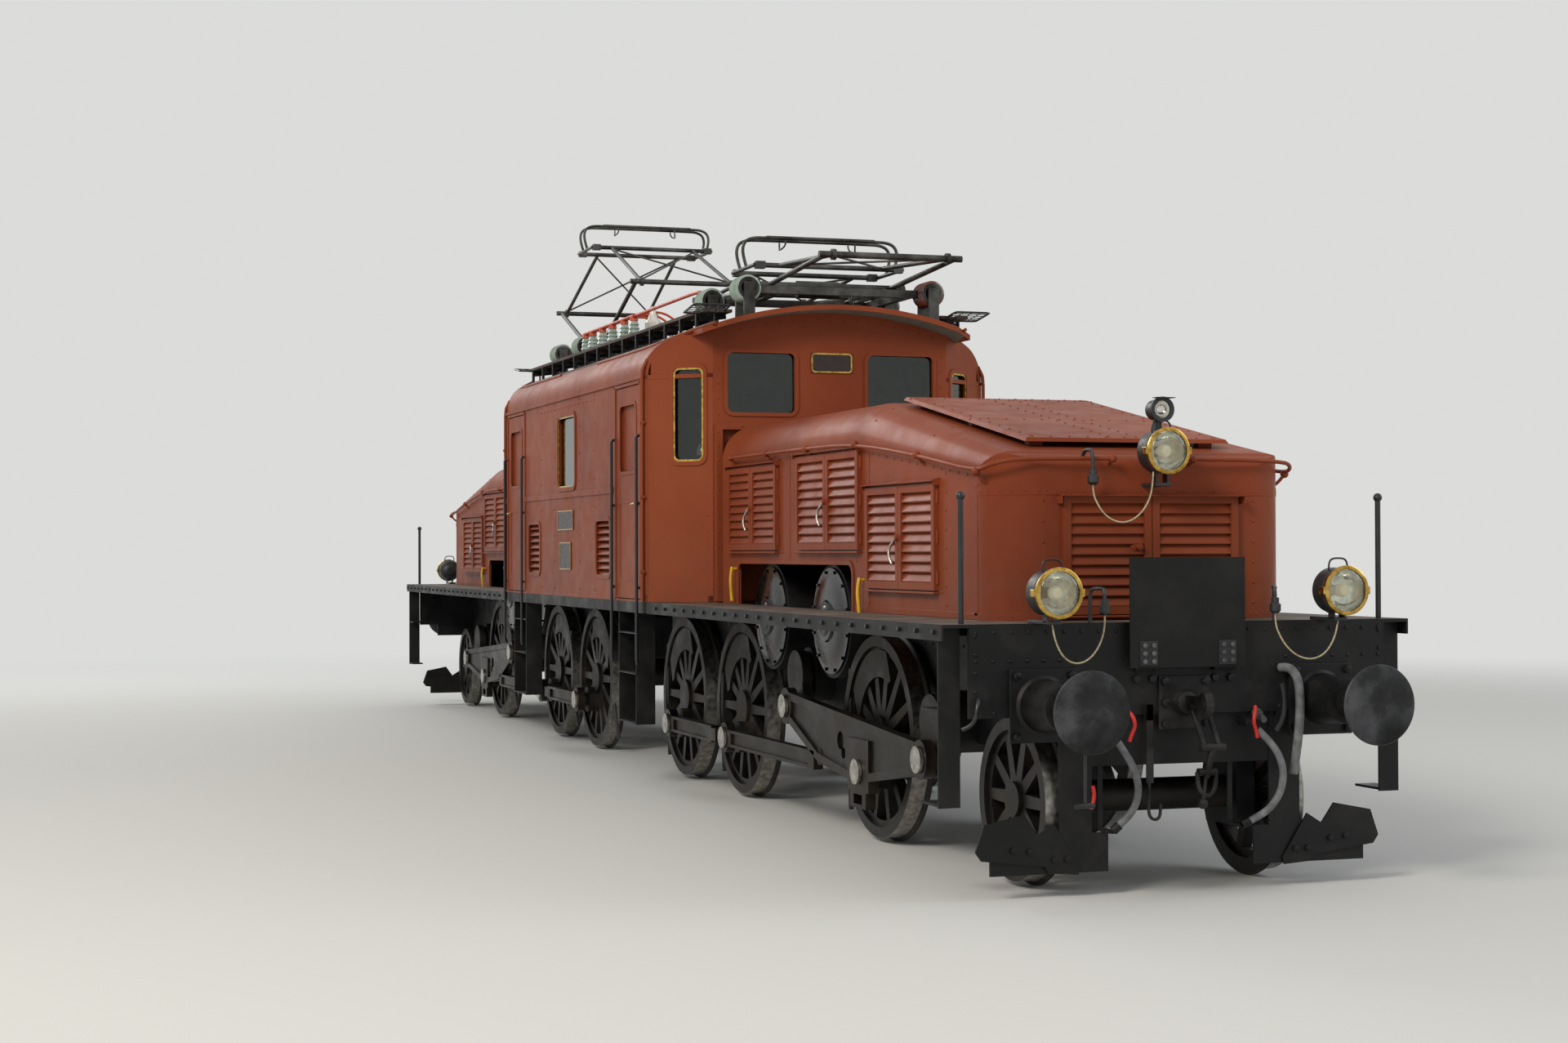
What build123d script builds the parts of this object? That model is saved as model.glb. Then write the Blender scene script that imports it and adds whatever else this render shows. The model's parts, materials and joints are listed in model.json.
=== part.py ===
"""Full-size electric locomotive: a cab body on two hinged nose bogies with triangular rod drive.

Millimetres. X runs forward, Y to the left, Z up. Every height in this file is measured above the
rail head. At the end each piece is lifted by the flange depth, so that the wheel flanges stand at Z = 0.
The bogie is drawn once, looking outwards along +X, and the rear one is the same turned half round.
"""

import os
from math import atan2, cos, degrees, hypot, pi, radians, sin, tan

from build123d import *

os.makedirs("parts", exist_ok=True)

# Wheels and track
flange_depth = 28.0
gauge_back = 1360.0
tyre_width = 140.0
flange_width = 32.0
drive_radius = 675.0
carry_radius = 475.0
tyre_depth = 75.0
spoke_count = 14
carry_spoke_count = 10
spoke_root = 78.0
spoke_taper_angle = 88.5
drive_hub_radius = 165.0
axle_radius = 95.0
shaft_radius = 105.0
running_clearance = 0.5

# Bogie stations along X and heights of the shafts
pivot_x = 2425.0
drive_axle_x = (6300.0, 3250.0, 1600.0)
carry_axle_x = 8500.0
jackshaft_x = 4775.0
jackshaft_z = 1015.0
blind_shaft_x = 7400.0
blind_shaft_z = 845.0

# Cranks and rods
crank_radius = 240.0
front_crank_angle = -66.4
pin_radius = 62.0
boss_radius = 122.0
crank_face_y = 885.0
rod_inner_y = 925.0
rod_thickness = 70.0
rod_depth = 130.0
pin_cap = 22.0
crank_cheek = 75.0
hub_step = 5.0

# Bogie frame and headstock
frame_plate_y = 600.0
frame_plate = 32.0
frame_front_x = 9050.0
frame_inner_x = 560.0
frame_top_inner = 1330.0
headstock_half_width = 1310.0
headstock_low = 985.0
buffer_face_x = 9700.0
buffer_spacing = 1750.0
buffer_z = 1050.0
buffer_head_radius = 225.0
flap_hinge_x = 9078.0
flap_hinge_y = 248.0
flap_hinge_z = 1250.0
flap_barrel = 50.0
flap_lug_radius = 20.0
flap_stand_off = 25.0
flap_top = 1870.0
flap_width = 722.0
flap_plate_thickness = 14.0
cock_length = 62.0
socket_length = 90.0
socket_radius = 32.0
dummy_length = 50.0

# Running board and hood
board_top = 1505.0
board_plate = 20.0
board_half_width = 1475.0
board_edge = 90.0
board_gap = 80.0
hood_half_width = 960.0
hood_wall = 16.0
hood_rear_x = 3220.0
hood_crease_x = 6300.0
hood_front_x = 8650.0
hood_eaves = 2630.0
hood_top = 2900.0
nose_eaves = 2350.0
nose_top = 2465.0
hood_shoulder = 270.0
nose_shoulder = 115.0
nose_plan_radius = 300.0
nose_edge_radius = 90.0
motor_radius = 400.0
motor_z = 1420.0
motor_offset = 675.0
motor_half_length = 895.0
guard_x = 9010.0
guard_plate = 14.0

# Cab body
side_half_length = 2700.0
cab_half_length = 3090.0
cab_half_width = 1475.0
end_half_width = 1000.0
cab_wall = 60.0
wall_top = 3330.0
roof_plate = 40.0
cant_radius = 310.0
crown_centre_z = 550.0
canopy_x = 3390.0
canopy_half_width = 1140.0
arch_low = 1517.0
arch_top = 2930.0
arch_depth = 70.0
arch_band = 50.0
floor_plate = 45.0
door_low_x = 1840.0
door_width = 760.0
door_gap = 8.0
door_low = 1530.0
door_high = 3265.0
hinge_radius = 12.0
hinge_length = 150.0
hinge_play = 0.3
bulkhead_x = 1765.0
bulkhead = 30.0

# Pantographs: a rhombus linkage, so that its two halves always meet
pantograph_x = 2750.0
pivot_half_spread = 300.0
arm_length = 1400.0
pantograph_z = 4050.0
arm_half_width = 520.0
arm_tube = 21.0
knuckle_half_width = 575.0
folded_angle = 3.3
raised_angle = 20.6
bow_height = 250.0
bow_half_width = 675.0
base_drum_y = 780.0


def block(x, y, z, mode=Mode.ADD):
    """A box given by its low and high value on each axis."""
    with Locations(((x[0] + x[1]) / 2, (y[0] + y[1]) / 2, (z[0] + z[1]) / 2)):
        Box(x[1] - x[0], y[1] - y[0], z[1] - z[0], mode=mode)


def bar(start, end, radius, mode=Mode.ADD):
    """A round bar from one point to another."""
    along = Vector(*end) - Vector(*start)
    with BuildSketch(Plane(origin=start, z_dir=along)) as section:
        Circle(radius)
    extrude(section.sketch, amount=along.length, mode=mode)


def drum(x, z, radius, y_low, y_high, mode=Mode.ADD):
    """A round boss or pin whose axis runs across the vehicle."""
    bar((x, y_low, z), (x, y_high, z), radius, mode)


def side_plate(points, y_low, y_high, mode=Mode.ADD):
    """A plate whose outline is drawn from the side, as (x, z) points."""
    with BuildSketch(Plane.XZ.offset(-y_high)) as outline:
        with BuildLine():
            Polyline(points, close=True)
        make_face()
    extrude(outline.sketch, amount=y_high - y_low, mode=mode)


def plan_plate(points, z_low, z_high, mode=Mode.ADD):
    """A plate whose outline is drawn from above, as (x, y) points."""
    with BuildSketch(Plane.XY.offset(z_low)) as outline:
        with BuildLine():
            Polyline(points, close=True)
        make_face()
    extrude(outline.sketch, amount=z_high - z_low, mode=mode)


def both_sides():
    """Repeats what stands in the part on the other side of the vehicle."""
    mirror(about=Plane.XZ)


def crank_offset(angle):
    """How far a crank pin lies from its shaft, in X and in Z."""
    return crank_radius * cos(radians(angle)), crank_radius * sin(radians(angle))


# Wheels: the tyre is turned from its profile, and the centre is cut from one plate


def tyre(radius, mode=Mode.ADD):
    inner = radius - tyre_depth
    back = gauge_back / 2
    with BuildSketch(Plane.YZ) as profile:
        with BuildLine():
            Polyline(
                (back, inner),
                (back, radius + flange_depth * 0.7),
                (back + flange_width * 0.4, radius + flange_depth),
                (back + flange_width * 0.7, radius + flange_depth * 0.8),
                (back + flange_width * 1.1, radius + 2),
                (back + tyre_width, radius - 4),
                (back + tyre_width, inner),
                close=True,
            )
        make_face()
    revolve(profile.sketch, axis=Axis.Y, mode=mode)


def wheel(radius, hub_radius, spokes, crank_angle=None):
    """One wheel on the left side, with its axis on Y; crank_angle adds the crank boss and its balance."""
    back = gauge_back / 2
    rim = radius - tyre_depth
    with BuildPart() as made:
        tyre(radius)
        with BuildSketch(Plane.XZ.offset(-(back + 110))):
            Circle(rim + 6)
            Circle(rim - 42, mode=Mode.SUBTRACT)
            Circle(hub_radius)
            with PolarLocations((rim - 20 + hub_radius - 15) / 2, spokes):
                Trapezoid(spoke_root, rim - hub_radius - 5, spoke_taper_angle, rotation=-90)
            if crank_angle is not None:
                with PolarLocations(crank_radius, 1, start_angle=crank_angle):
                    Circle(boss_radius)
                with PolarLocations(crank_radius / 2, 1, start_angle=crank_angle):
                    Rectangle(crank_radius, 2 * boss_radius)
        extrude(amount=70)
        drum(0, 0, hub_radius * 0.85, back - hub_step, back + tyre_width)
        if crank_angle is not None:
            with BuildSketch(Plane.XZ.offset(-(back + 125))):
                Circle(rim - 20)
                Circle(rim * 0.66, mode=Mode.SUBTRACT)
                with Locations((0, 0)):
                    with PolarLocations(rim * 0.75, 1, start_angle=crank_angle + 180):
                        Rectangle(rim * 0.62, rim * 1.15, mode=Mode.INTERSECT)
            extrude(amount=85)
    return made.part


def crank_arm(angle, y_low, y_high):
    """Crank cheek on the left side of a shaft that carries no wheel."""
    dx, dz = crank_offset(angle)
    drum(0, 0, 175, y_low, y_high)
    drum(dx, dz, boss_radius, y_low, y_high)
    with BuildSketch(Plane.XZ.offset(-y_high)) as cheek:
        with Locations(Location((dx / 2, dz / 2, 0), (0, 0, angle))):
            Rectangle(crank_radius, 2 * boss_radius)
    extrude(cheek.sketch, amount=y_high - y_low)


def crank_pin(angle):
    """Crank pin with its end cap, on the left side."""
    dx, dz = crank_offset(angle)
    outer = rod_inner_y + rod_thickness + running_clearance * 8
    drum(dx, dz, pin_radius, crank_face_y - 60, outer)
    drum(dx, dz, pin_radius + 22, outer, outer + pin_cap)


def plain_shaft(radius, half_length):
    with BuildPart() as shaft:
        drum(0, 0, radius, -half_length, half_length)
    return shaft.part


def wheel_axle(radius, hub_radius, spokes):
    """Carrying axle centred on Y: two wheels pressed on a shaft, each its own solid."""
    left = wheel(radius, hub_radius, spokes)
    pieces = [plain_shaft(axle_radius, gauge_back / 2 - hub_step), left, mirror(left, about=Plane.XZ)]
    return Compound([piece.solid() for piece in pieces])


def drive_axle(right_angle):
    """Driving axle: the left crank leads the right one by a quarter turn."""
    pieces = [plain_shaft(axle_radius, gauge_back / 2 - hub_step)]
    for side, angle in ((1, right_angle + 90), (-1, right_angle)):
        with BuildPart() as half:
            add(wheel(drive_radius, drive_hub_radius, spoke_count, angle))
            dx, dz = crank_offset(angle)
            drum(dx, dz, boss_radius, gauge_back / 2 + 60, crank_face_y)
            crank_pin(angle)
        pieces.append(half.part if side > 0 else mirror(half.part, about=Plane.XZ))
    return Compound([piece.solid() for piece in pieces])


def crank_shaft(right_angle):
    """Jackshaft or blind shaft: a plain shaft with a crank cheek at each end."""
    cheek_y = crank_face_y - crank_cheek
    pieces = [plain_shaft(shaft_radius, cheek_y)]
    for side, angle in ((1, right_angle + 90), (-1, right_angle)):
        with BuildPart() as half:
            crank_arm(angle, cheek_y, crank_face_y)
            crank_pin(angle)
        pieces.append(half.part if side > 0 else mirror(half.part, about=Plane.XZ))
    return Compound([piece.solid() for piece in pieces])


# Rods: drawn with every pin on its shaft centre, then moved out by the crank


def rod_set(side, angle):
    """Triangular rod frame and the two coupling rods of one side, as pieces that meet at their knuckles."""
    low = rod_inner_y
    high = rod_inner_y + rod_thickness
    web_low = low + 22
    web_high = high - 22
    jack = (jackshaft_x, jackshaft_z)
    blind = (blind_shaft_x, blind_shaft_z)
    first = (drive_axle_x[0], drive_radius)
    second = (drive_axle_x[1], drive_radius)
    third = (drive_axle_x[2], drive_radius)
    knuckle = (5480.0, drive_radius + 30)
    rear_knuckle = (2960.0, drive_radius)
    with BuildPart() as frame:
        side_plate(
            (
                (jack[0] - 20, jack[1] + 100),
                (blind[0] + 20, blind[1] + 95),
                (blind[0] + 20, blind[1] - 95),
                (first[0] + 210, first[1] - 45),
                (first[0] - 210, first[1] - 65),
                (knuckle[0] + 40, knuckle[1] - 50),
                (jack[0] + 40, jack[1] - 100),
            ),
            web_low,
            web_high,
        )
        for start, end in (
            ((jack[0], jack[1] + 78), (blind[0], blind[1] + 70)),
            ((jack[0] + 60, jack[1] - 80), knuckle),
            (knuckle, (first[0] - 190, first[1] - 40)),
            ((first[0] + 190, first[1] - 25), (blind[0], blind[1] - 70)),
        ):
            angle_of = degrees(atan2(end[1] - start[1], end[0] - start[0]))
            reach = hypot(end[0] - start[0], end[1] - start[1])
            middle = ((start[0] + end[0]) / 2, (start[1] + end[1]) / 2, 0)
            with BuildSketch(Plane.XZ.offset(-high)):
                with Locations(Location(middle, (0, 0, angle_of))):
                    Rectangle(reach, 56)
            extrude(amount=high - low)
        drum(*jack, boss_radius + 8, low, high)
        drum(*blind, boss_radius, low, high)
        block((first[0] - 200, first[0] + 200), (low, high), (first[1] - 130, first[1] + 215))
        block((first[0] - 150, first[0] + 150), (low, high), (first[1] - 240, first[1] - 100))
        drum(5900, 850, 62, low - 1, high + 1, Mode.SUBTRACT)
        drum(5960, 770, 40, low - 1, high + 1, Mode.SUBTRACT)
        block((first[0] - 80, first[0] + 80), (low - 1, high + 1), (first[1] - 215, first[1] - 150), Mode.SUBTRACT)
        drum(*knuckle, 58, low + 15, high - 15)
        for x, z in (jack, blind, first):
            drum(x, z, pin_radius + running_clearance, low - 1, high + 1, Mode.SUBTRACT)
    with BuildPart() as long_rod:
        fork_x = knuckle[0] - 74
        block((second[0], fork_x), (low, high), (second[1] - rod_depth / 2, second[1] + rod_depth / 2))
        drum(*second, boss_radius - 4, low, high)
        block((rear_knuckle[0], second[0]), (low + 18, high - 18), (second[1] - 45, second[1] + 45))
        drum(*rear_knuckle, 55, low + 18, high - 18)
        for groove in ((low - 1, web_low), (web_high, high + 1)):
            block((second[0] + 175, fork_x - 120), groove, (second[1] - 42, second[1] + 42), Mode.SUBTRACT)
        drum(*second, pin_radius + running_clearance, low - 1, high + 1, Mode.SUBTRACT)
    with BuildPart() as short_rod:
        fork_x = rear_knuckle[0] - 62
        block((third[0], fork_x), (low, high), (third[1] - rod_depth / 2, third[1] + rod_depth / 2))
        drum(*third, boss_radius - 4, low, high)
        for cheek in ((low, low + 17), (high - 17, high)):
            block((fork_x - 20, rear_knuckle[0] + 55), cheek, (third[1] - 50, third[1] + 50))
        for groove in ((low - 1, web_low), (web_high, high + 1)):
            block((third[0] + 175, fork_x - 120), groove, (third[1] - 42, third[1] + 42), Mode.SUBTRACT)
        drum(*third, pin_radius + running_clearance, low - 1, high + 1, Mode.SUBTRACT)
    dx, dz = crank_offset(angle)
    pieces = [frame.part.solid(), long_rod.part.solid(), short_rod.part.solid()]
    if side < 0:
        pieces = [mirror(piece, about=Plane.XZ) for piece in pieces]
    return Compound([piece.moved(Location((dx, 0, dz))) for piece in pieces])


# Bogie structure


# Each route is a diameter and the points that the cord follows, from its top end to its lower or far end
brake_hoses = [
    (42.0, [(9150, -468, 855), (9172, -432, 792), (9190, -396, 724), (9202, -371, 652), (9206, -361, 577),
            (9200, -373, 503), (9186, -408, 436), (9168, -462, 384)]),
    (42.0, [(9150, 419, 889), (9180, 482, 822), (9202, 531, 738), (9210, 550, 643), (9204, 537, 548),
            (9188, 497, 468), (9168, 437, 409), (9150, 366, 374)]),
]
lamp_cable = 10.0
lower_cable = [(9150, 536, 1548), (9150, 536, 1490), (9160, 556, 1425), (9172, 592, 1362), (9185, 644, 1312),
               (9198, 704, 1287), (9210, 766, 1290), (9220, 820, 1322), (9227, 860, 1380), (9231, 884, 1445),
               (9232, 894, 1503)]
nose_cable = [(8760, -415, 2285), (8760, -415, 2235), (8772, -396, 2180), (8784, -364, 2125), (8798, -318, 2085),
              (8810, -262, 2068), (8818, -206, 2078), (8822, -154, 2112), (8822, -110, 2163), (8818, -78, 2224),
              (8812, -62, 2290), (8808, -55, 2363)]
lamp_cables = [(lamp_cable, lower_cable), (lamp_cable, [(x, -y, z) for x, y, z in lower_cable]),
               (lamp_cable, nose_cable)]


def hose_fittings(route):
    """Cock at a hose's top and the dummy it is hooked on at its foot, both face to face with the hose."""
    diameter, points = route
    top, after = Vector(*points[0]), Vector(*points[1])
    before, foot = Vector(*points[-2]), Vector(*points[-1])
    cock = top - (after - top).normalized() * cock_length
    bar(tuple(cock), tuple(top), diameter / 2 + 3)
    bar((frame_front_x - 30, cock.Y, cock.Z), (cock.X, cock.Y, cock.Z), diameter / 2 + 3)
    dummy = foot + (foot - before).normalized() * dummy_length
    bar(tuple(foot), tuple(dummy), diameter / 2 + 5)
    strap = (frame_front_x - 60, frame_front_x - 50)
    block(strap, (dummy.Y - 15, dummy.Y + 15), (dummy.Z - 15, headstock_low + 20))
    block((strap[0], dummy.X), (dummy.Y - 15, dummy.Y + 15), (dummy.Z - 15, dummy.Z + 5))


def bogie_frame():
    """Two frame plates with stretchers, axleboxes, shaft bearings, headstock and guard plates."""
    low_edge = 780.0
    box_low = 500.0
    board_under = board_top - board_plate
    with BuildPart() as frame:
        side_plate(
            (
                (frame_inner_x, low_edge + 120),
                (frame_inner_x, frame_top_inner),
                (3330, frame_top_inner),
                (3480, board_under),
                (frame_front_x, board_under),
                (frame_front_x, headstock_low),
                (9000, headstock_low - 60),
                (8000, low_edge - 60),
                (7000, low_edge - 60),
                (frame_inner_x + 200, low_edge - 60),
            ),
            frame_plate_y,
            frame_plate_y + frame_plate,
        )
        for x, z in ((drive_axle_x[0], drive_radius), (drive_axle_x[1], drive_radius),
                     (drive_axle_x[2], drive_radius), (carry_axle_x, carry_radius)):
            block((x - 190, x + 190), (frame_plate_y - 60, frame_plate_y + frame_plate + 25), (z - 190, z + 210))
            if z < box_low:
                block((x - 120, x + 120), (frame_plate_y, frame_plate_y + frame_plate), (z + 200, low_edge + 120))
        for x, z in ((jackshaft_x, jackshaft_z), (blind_shaft_x, blind_shaft_z)):
            drum(x, z, 195, frame_plate_y - 70, frame_plate_y + frame_plate + 150)
        both_sides()
        for x, z in ((drive_axle_x[0], drive_radius), (drive_axle_x[1], drive_radius),
                     (drive_axle_x[2], drive_radius), (carry_axle_x, carry_radius)):
            drum(x, z, axle_radius + running_clearance, -900, 900, Mode.SUBTRACT)
        for x, z in ((jackshaft_x, jackshaft_z), (blind_shaft_x, blind_shaft_z)):
            drum(x, z, shaft_radius + running_clearance, -900, 900, Mode.SUBTRACT)
        for sign in (-1, 1):
            drum(jackshaft_x + sign * motor_offset, motor_z, motor_radius + 0.3, -900, 900, Mode.SUBTRACT)
        for x, z_low, z_high, thick in ((800, 900, 1280, 30), (5900, 850, 960, 30), (7050, 860, 1400, 30),
                                        (7900, 800, 1400, 30), (3700, 900, 980, 30)):
            block((x - thick / 2, x + thick / 2), (-frame_plate_y, frame_plate_y), (z_low, z_high))
        block((pivot_x - 230, pivot_x + 230), (-frame_plate_y, frame_plate_y), (960, 1250))
        drum_pivot = Plane.XY.offset(1250)
        with BuildSketch(drum_pivot):
            with Locations((pivot_x, 0)):
                Circle(200)
        extrude(amount=36)
        with BuildSketch(Plane.XY.offset(950)):
            with Locations((pivot_x, 0)):
                Circle(90 + running_clearance)
        extrude(amount=400, mode=Mode.SUBTRACT)
        block((frame_front_x - 30, frame_front_x), (-headstock_half_width, headstock_half_width),
              (headstock_low, board_top - board_plate))
        block((frame_front_x - 60, frame_front_x - 30), (-560, 560), (700, headstock_low + 60))
        for y in (-flap_hinge_y, flap_hinge_y):
            for end in (-1, 1):
                inner = y + end * (flap_barrel + 0.3)
                outer = y + end * (flap_barrel + 22)
                bar((flap_hinge_x, inner, flap_hinge_z), (flap_hinge_x, outer, flap_hinge_z), flap_lug_radius)
                block((frame_front_x, flap_hinge_x), sorted((inner, outer)),
                      (flap_hinge_z - flap_lug_radius, flap_hinge_z + flap_lug_radius))
        for side in (-1, 1):
            guard = (guard_x, guard_x + guard_plate)
            block(guard, sorted((side * 460, side * 1180)), (110, 330))
            block(guard, sorted((side * 560, side * 760)), (330, headstock_low + 100))
        for route in brake_hoses:
            hose_fittings(route)
    return frame.part


def board_plan(grow=0.0):
    """Outline of the running board: it ends parallel to the cab's front panels, with a gap to swing in."""
    run = cab_half_length - side_half_length
    rise = cab_half_width - end_half_width
    panel = hypot(run, rise)
    shift = board_gap
    corner_y = board_half_width
    corner_x = side_half_length + shift * panel / rise
    end_x = cab_half_length + shift
    end_y = end_half_width + (shift * panel - shift * rise) / run
    outline = [(frame_front_x, corner_y), (corner_x, corner_y), (end_x, end_y)]
    return outline + [(x, -y) for x, y in reversed(outline)]


def running_board():
    with BuildPart() as board:
        plan_plate(board_plan(), board_top - board_plate, board_top)
        with BuildSketch(Plane.XY.offset(board_top - board_plate)):
            with Locations(((hood_rear_x + hood_front_x) / 2 - 60, 0)):
                Rectangle(hood_front_x - hood_rear_x - 220, 2 * hood_half_width - 60)
        extrude(amount=board_plate, mode=Mode.SUBTRACT)
        edge_low = board_top - board_edge
        edge_x = board_plan()[1][0]
        block((edge_x, frame_front_x), (board_half_width - 12, board_half_width), (edge_low, board_top - board_plate))
        for x in (3600, 4775, 5950, 7200, 8300):
            side_plate(((x - 5, edge_low), (x + 5, edge_low), (x + 5, board_top - board_plate),
                        (x - 5, board_top - board_plate)), frame_plate_y + frame_plate, board_half_width - 12)
        # End ladder, below the board's front corner
        block((8950, 8962), (1330, 1460), (490, board_top - board_plate))
        for z in (507, 1030):
            block((8700, 8950), (1330, 1460), (z - 10, z + 4))
        bar((8970, 1326, board_top), (8970, 1326, 2205), 16)
        with Locations((8970, 1326, 2215)):
            Sphere(26)
        both_sides()
    return board.part


def hood_outline(inset):
    """Plan of the hood with its two rounded front corners."""
    with BuildSketch(Plane.XY.offset(board_top)) as plan:
        with Locations(((hood_rear_x + hood_front_x) / 2, 0)):
            Rectangle(hood_front_x - hood_rear_x - 2 * inset, 2 * (hood_half_width - inset))
        fillet([v for v in plan.vertices() if v.X > hood_crease_x], nose_plan_radius - inset)
    extrude(plan.sketch, amount=hood_top, mode=Mode.INTERSECT)


def hood_body(inset):
    """Hood solid between three cross-sections, trimmed to its plan and to its side view."""
    with BuildPart() as body:
        for x, eaves, top, shoulder in (
            (hood_rear_x, hood_eaves, hood_top, hood_shoulder),
            (hood_crease_x, hood_eaves, hood_top, hood_shoulder),
            (hood_front_x, nose_eaves, nose_top, nose_shoulder),
        ):
            half = hood_half_width - inset
            radius = shoulder - inset / 2
            with BuildSketch(Plane.YZ.offset(x)):
                with BuildLine():
                    Line((half, board_top), (half, top - inset - radius))
                    RadiusArc((half, top - inset - radius), (half - radius, top - inset), -radius)
                    Line((half - radius, top - inset), (radius - half, top - inset))
                    RadiusArc((radius - half, top - inset), (-half, top - inset - radius), -radius)
                    Line((-half, top - inset - radius), (-half, board_top))
                    Line((-half, board_top), (half, board_top))
                make_face()
        loft(ruled=True)
        hood_outline(inset)
        front = hood_front_x - inset
        peak = nose_top - inset
        with BuildSketch(Plane.XZ.offset(-hood_half_width)):
            with BuildLine():
                Polyline((hood_rear_x + inset, board_top), (hood_rear_x + inset, hood_top + 50),
                         (hood_crease_x, hood_top + 50),
                         (front - nose_edge_radius - 300, peak + 190),
                         (front - nose_edge_radius, peak + 4))
                RadiusArc((front - nose_edge_radius, peak + 4), (front, peak + 4 - nose_edge_radius),
                          nose_edge_radius)
                Polyline((front, peak + 4 - nose_edge_radius), (front, board_top),
                         (hood_rear_x + inset, board_top))
            make_face()
        extrude(amount=2 * hood_half_width, mode=Mode.INTERSECT)
    return body.part


def hood_cover():
    """Raised cover plate on spacers over the sloping top of the hood."""
    slope = atan2(hood_top - nose_top, hood_front_x - hood_crease_x)
    start = Vector(6420, 0, hood_top - (6420 - hood_crease_x) * tan(slope))
    deck = Plane(origin=start, x_dir=(cos(slope), 0, -sin(slope)), z_dir=(sin(slope), 0, cos(slope)))
    length = 1990.0
    with BuildPart() as cover:
        with BuildSketch(deck.offset(36)):
            with Locations((length / 2, 0)):
                Rectangle(length, 1340)
        extrude(amount=22, taper=35)
        with BuildSketch(deck):
            with Locations((length / 2, 0)):
                with GridLocations(length / 2 - 120, 1120, 3, 2):
                    Rectangle(60, 90)
        extrude(amount=37)
    return cover.part


def hood():
    """Sheet hood, open below, with the two cut-outs that show the motors and a raised cover on its slope."""
    with BuildPart() as shell:
        add(hood_body(0))
        add(hood_body(hood_wall), mode=Mode.SUBTRACT)
        cut_low = board_top - 1
        block((3650, 6220), (-1000, 1000), (cut_low, 1817), Mode.SUBTRACT)
        add(hood_cover())
    return shell.part


def louvre_leaf(width, height, slats):
    """One louvre door leaf standing on the XZ plane: frame, backing sheet and slats, outer side at -Y."""
    rim = 46.0
    pitch = (height - 2 * rim) / slats
    with BuildPart() as leaf:
        block((0, width), (-34, 0), (0, height))
        block((rim, width - rim), (-40, -4), (rim, height - rim), Mode.SUBTRACT)
        with BuildSketch(Plane.YZ.offset(rim)):
            for k in range(slats):
                z = rim + k * pitch
                with BuildLine():
                    Polyline((-30, z + 2), (-30, z + 8), (-4, z + pitch - 2), (-4, z + pitch - 8), close=True)
                make_face()
        extrude(amount=width - 2 * rim)
    return leaf.part


def louvre_doors():
    """Double louvre doors on both sides and on the front of the hood."""
    fields = ((3450, 4650, 1920, 2550), (5110, 6400, 1920, 2580), (6540, 7750, 1670, 2320))
    pieces = []
    for x_low, x_high, z_low, z_high in fields:
        width = (x_high - x_low) / 2 - 3
        leaf = louvre_leaf(width, z_high - z_low, 9)
        for x in (x_low, x_low + width + 6):
            right = leaf.moved(Location((x, -hood_half_width, z_low)))
            pieces.append(right)
            pieces.append(mirror(right, about=Plane.XZ))
    leaf = louvre_leaf(561, 690, 10)
    for y in (-564, 3):
        pieces.append(leaf.moved(Location((hood_front_x, y, 1540), (0, 0, 90))))
    return Compound([solid for piece in pieces for solid in piece.solids()])


def motors():
    """Two traction motors above the jackshaft, with their end shields and gear case."""
    with BuildPart() as pair:
        for sign in (-1, 1):
            x = jackshaft_x + sign * motor_offset
            drum(x, motor_z, motor_radius, -motor_half_length + 60, motor_half_length - 60)
            drum(x, motor_z, motor_radius - 40, -motor_half_length, motor_half_length)
            drum(x, motor_z, 120, -motor_half_length - 15, motor_half_length + 15)
        block((jackshaft_x - motor_offset, jackshaft_x + motor_offset), (-500, -380), (1290, 1440))
        block((jackshaft_x - motor_offset, jackshaft_x + motor_offset), (380, 500), (1290, 1440))
    return pair.part


def buffers():
    """Buffer pair: bolted flange, stock, plunger and round head."""
    with BuildPart() as pair:
        y = buffer_spacing / 2
        seat = frame_front_x
        block((seat, seat + 26), (y - 205, y + 205), (buffer_z - 205, buffer_z + 205))
        bar((seat + 26, y, buffer_z), (seat + 330, y, buffer_z), 118)
        bar((seat + 300, y, buffer_z), (buffer_face_x - 30, y, buffer_z), 88)
        bar((buffer_face_x - 34, y, buffer_z), (buffer_face_x, y, buffer_z), buffer_head_radius)
        both_sides()
    return pair.part


def coupling():
    """Draw hook with its screw coupling hanging below."""
    with BuildPart() as gear:
        block((frame_front_x, frame_front_x + 20), (-160, 160), (buffer_z - 150, buffer_z + 150))
        side_plate(((frame_front_x + 20, 1010), (frame_front_x + 20, 1090), (9300, 1090), (9345, 1120),
                    (9365, 1050), (9330, 985), (9260, 1000)), -25, 25)
        bar((9250, 0, 1000), (9260, 0, 560), 26)
        bar((9230, -55, 700), (9230, 55, 700), 26)
        with Locations((9262, 0, 430)):
            Sphere(55)
        bar((9262, 0, 460), (9260, 0, 570), 16)
    return gear.part


def flap_plate():
    """Fall plate between the buffers, hinged at its lower edge."""
    face = flap_hinge_x + flap_stand_off
    with BuildPart() as flap:
        with BuildSketch(Plane.YZ.offset(face)) as outline:
            with Locations((0, (flap_hinge_z + flap_top) / 2)):
                Rectangle(flap_width, flap_top - flap_hinge_z)
            fillet([v for v in outline.vertices() if v.Z > flap_hinge_z + 100], 60)
        extrude(amount=flap_plate_thickness)
        for y in (-flap_hinge_y, flap_hinge_y):
            bar((flap_hinge_x, y - flap_barrel, flap_hinge_z), (flap_hinge_x, y + flap_barrel, flap_hinge_z), 18)
            block((flap_hinge_x, face), (y - 40, y + 40), (flap_hinge_z, flap_hinge_z + 90))
    return flap.part


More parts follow.
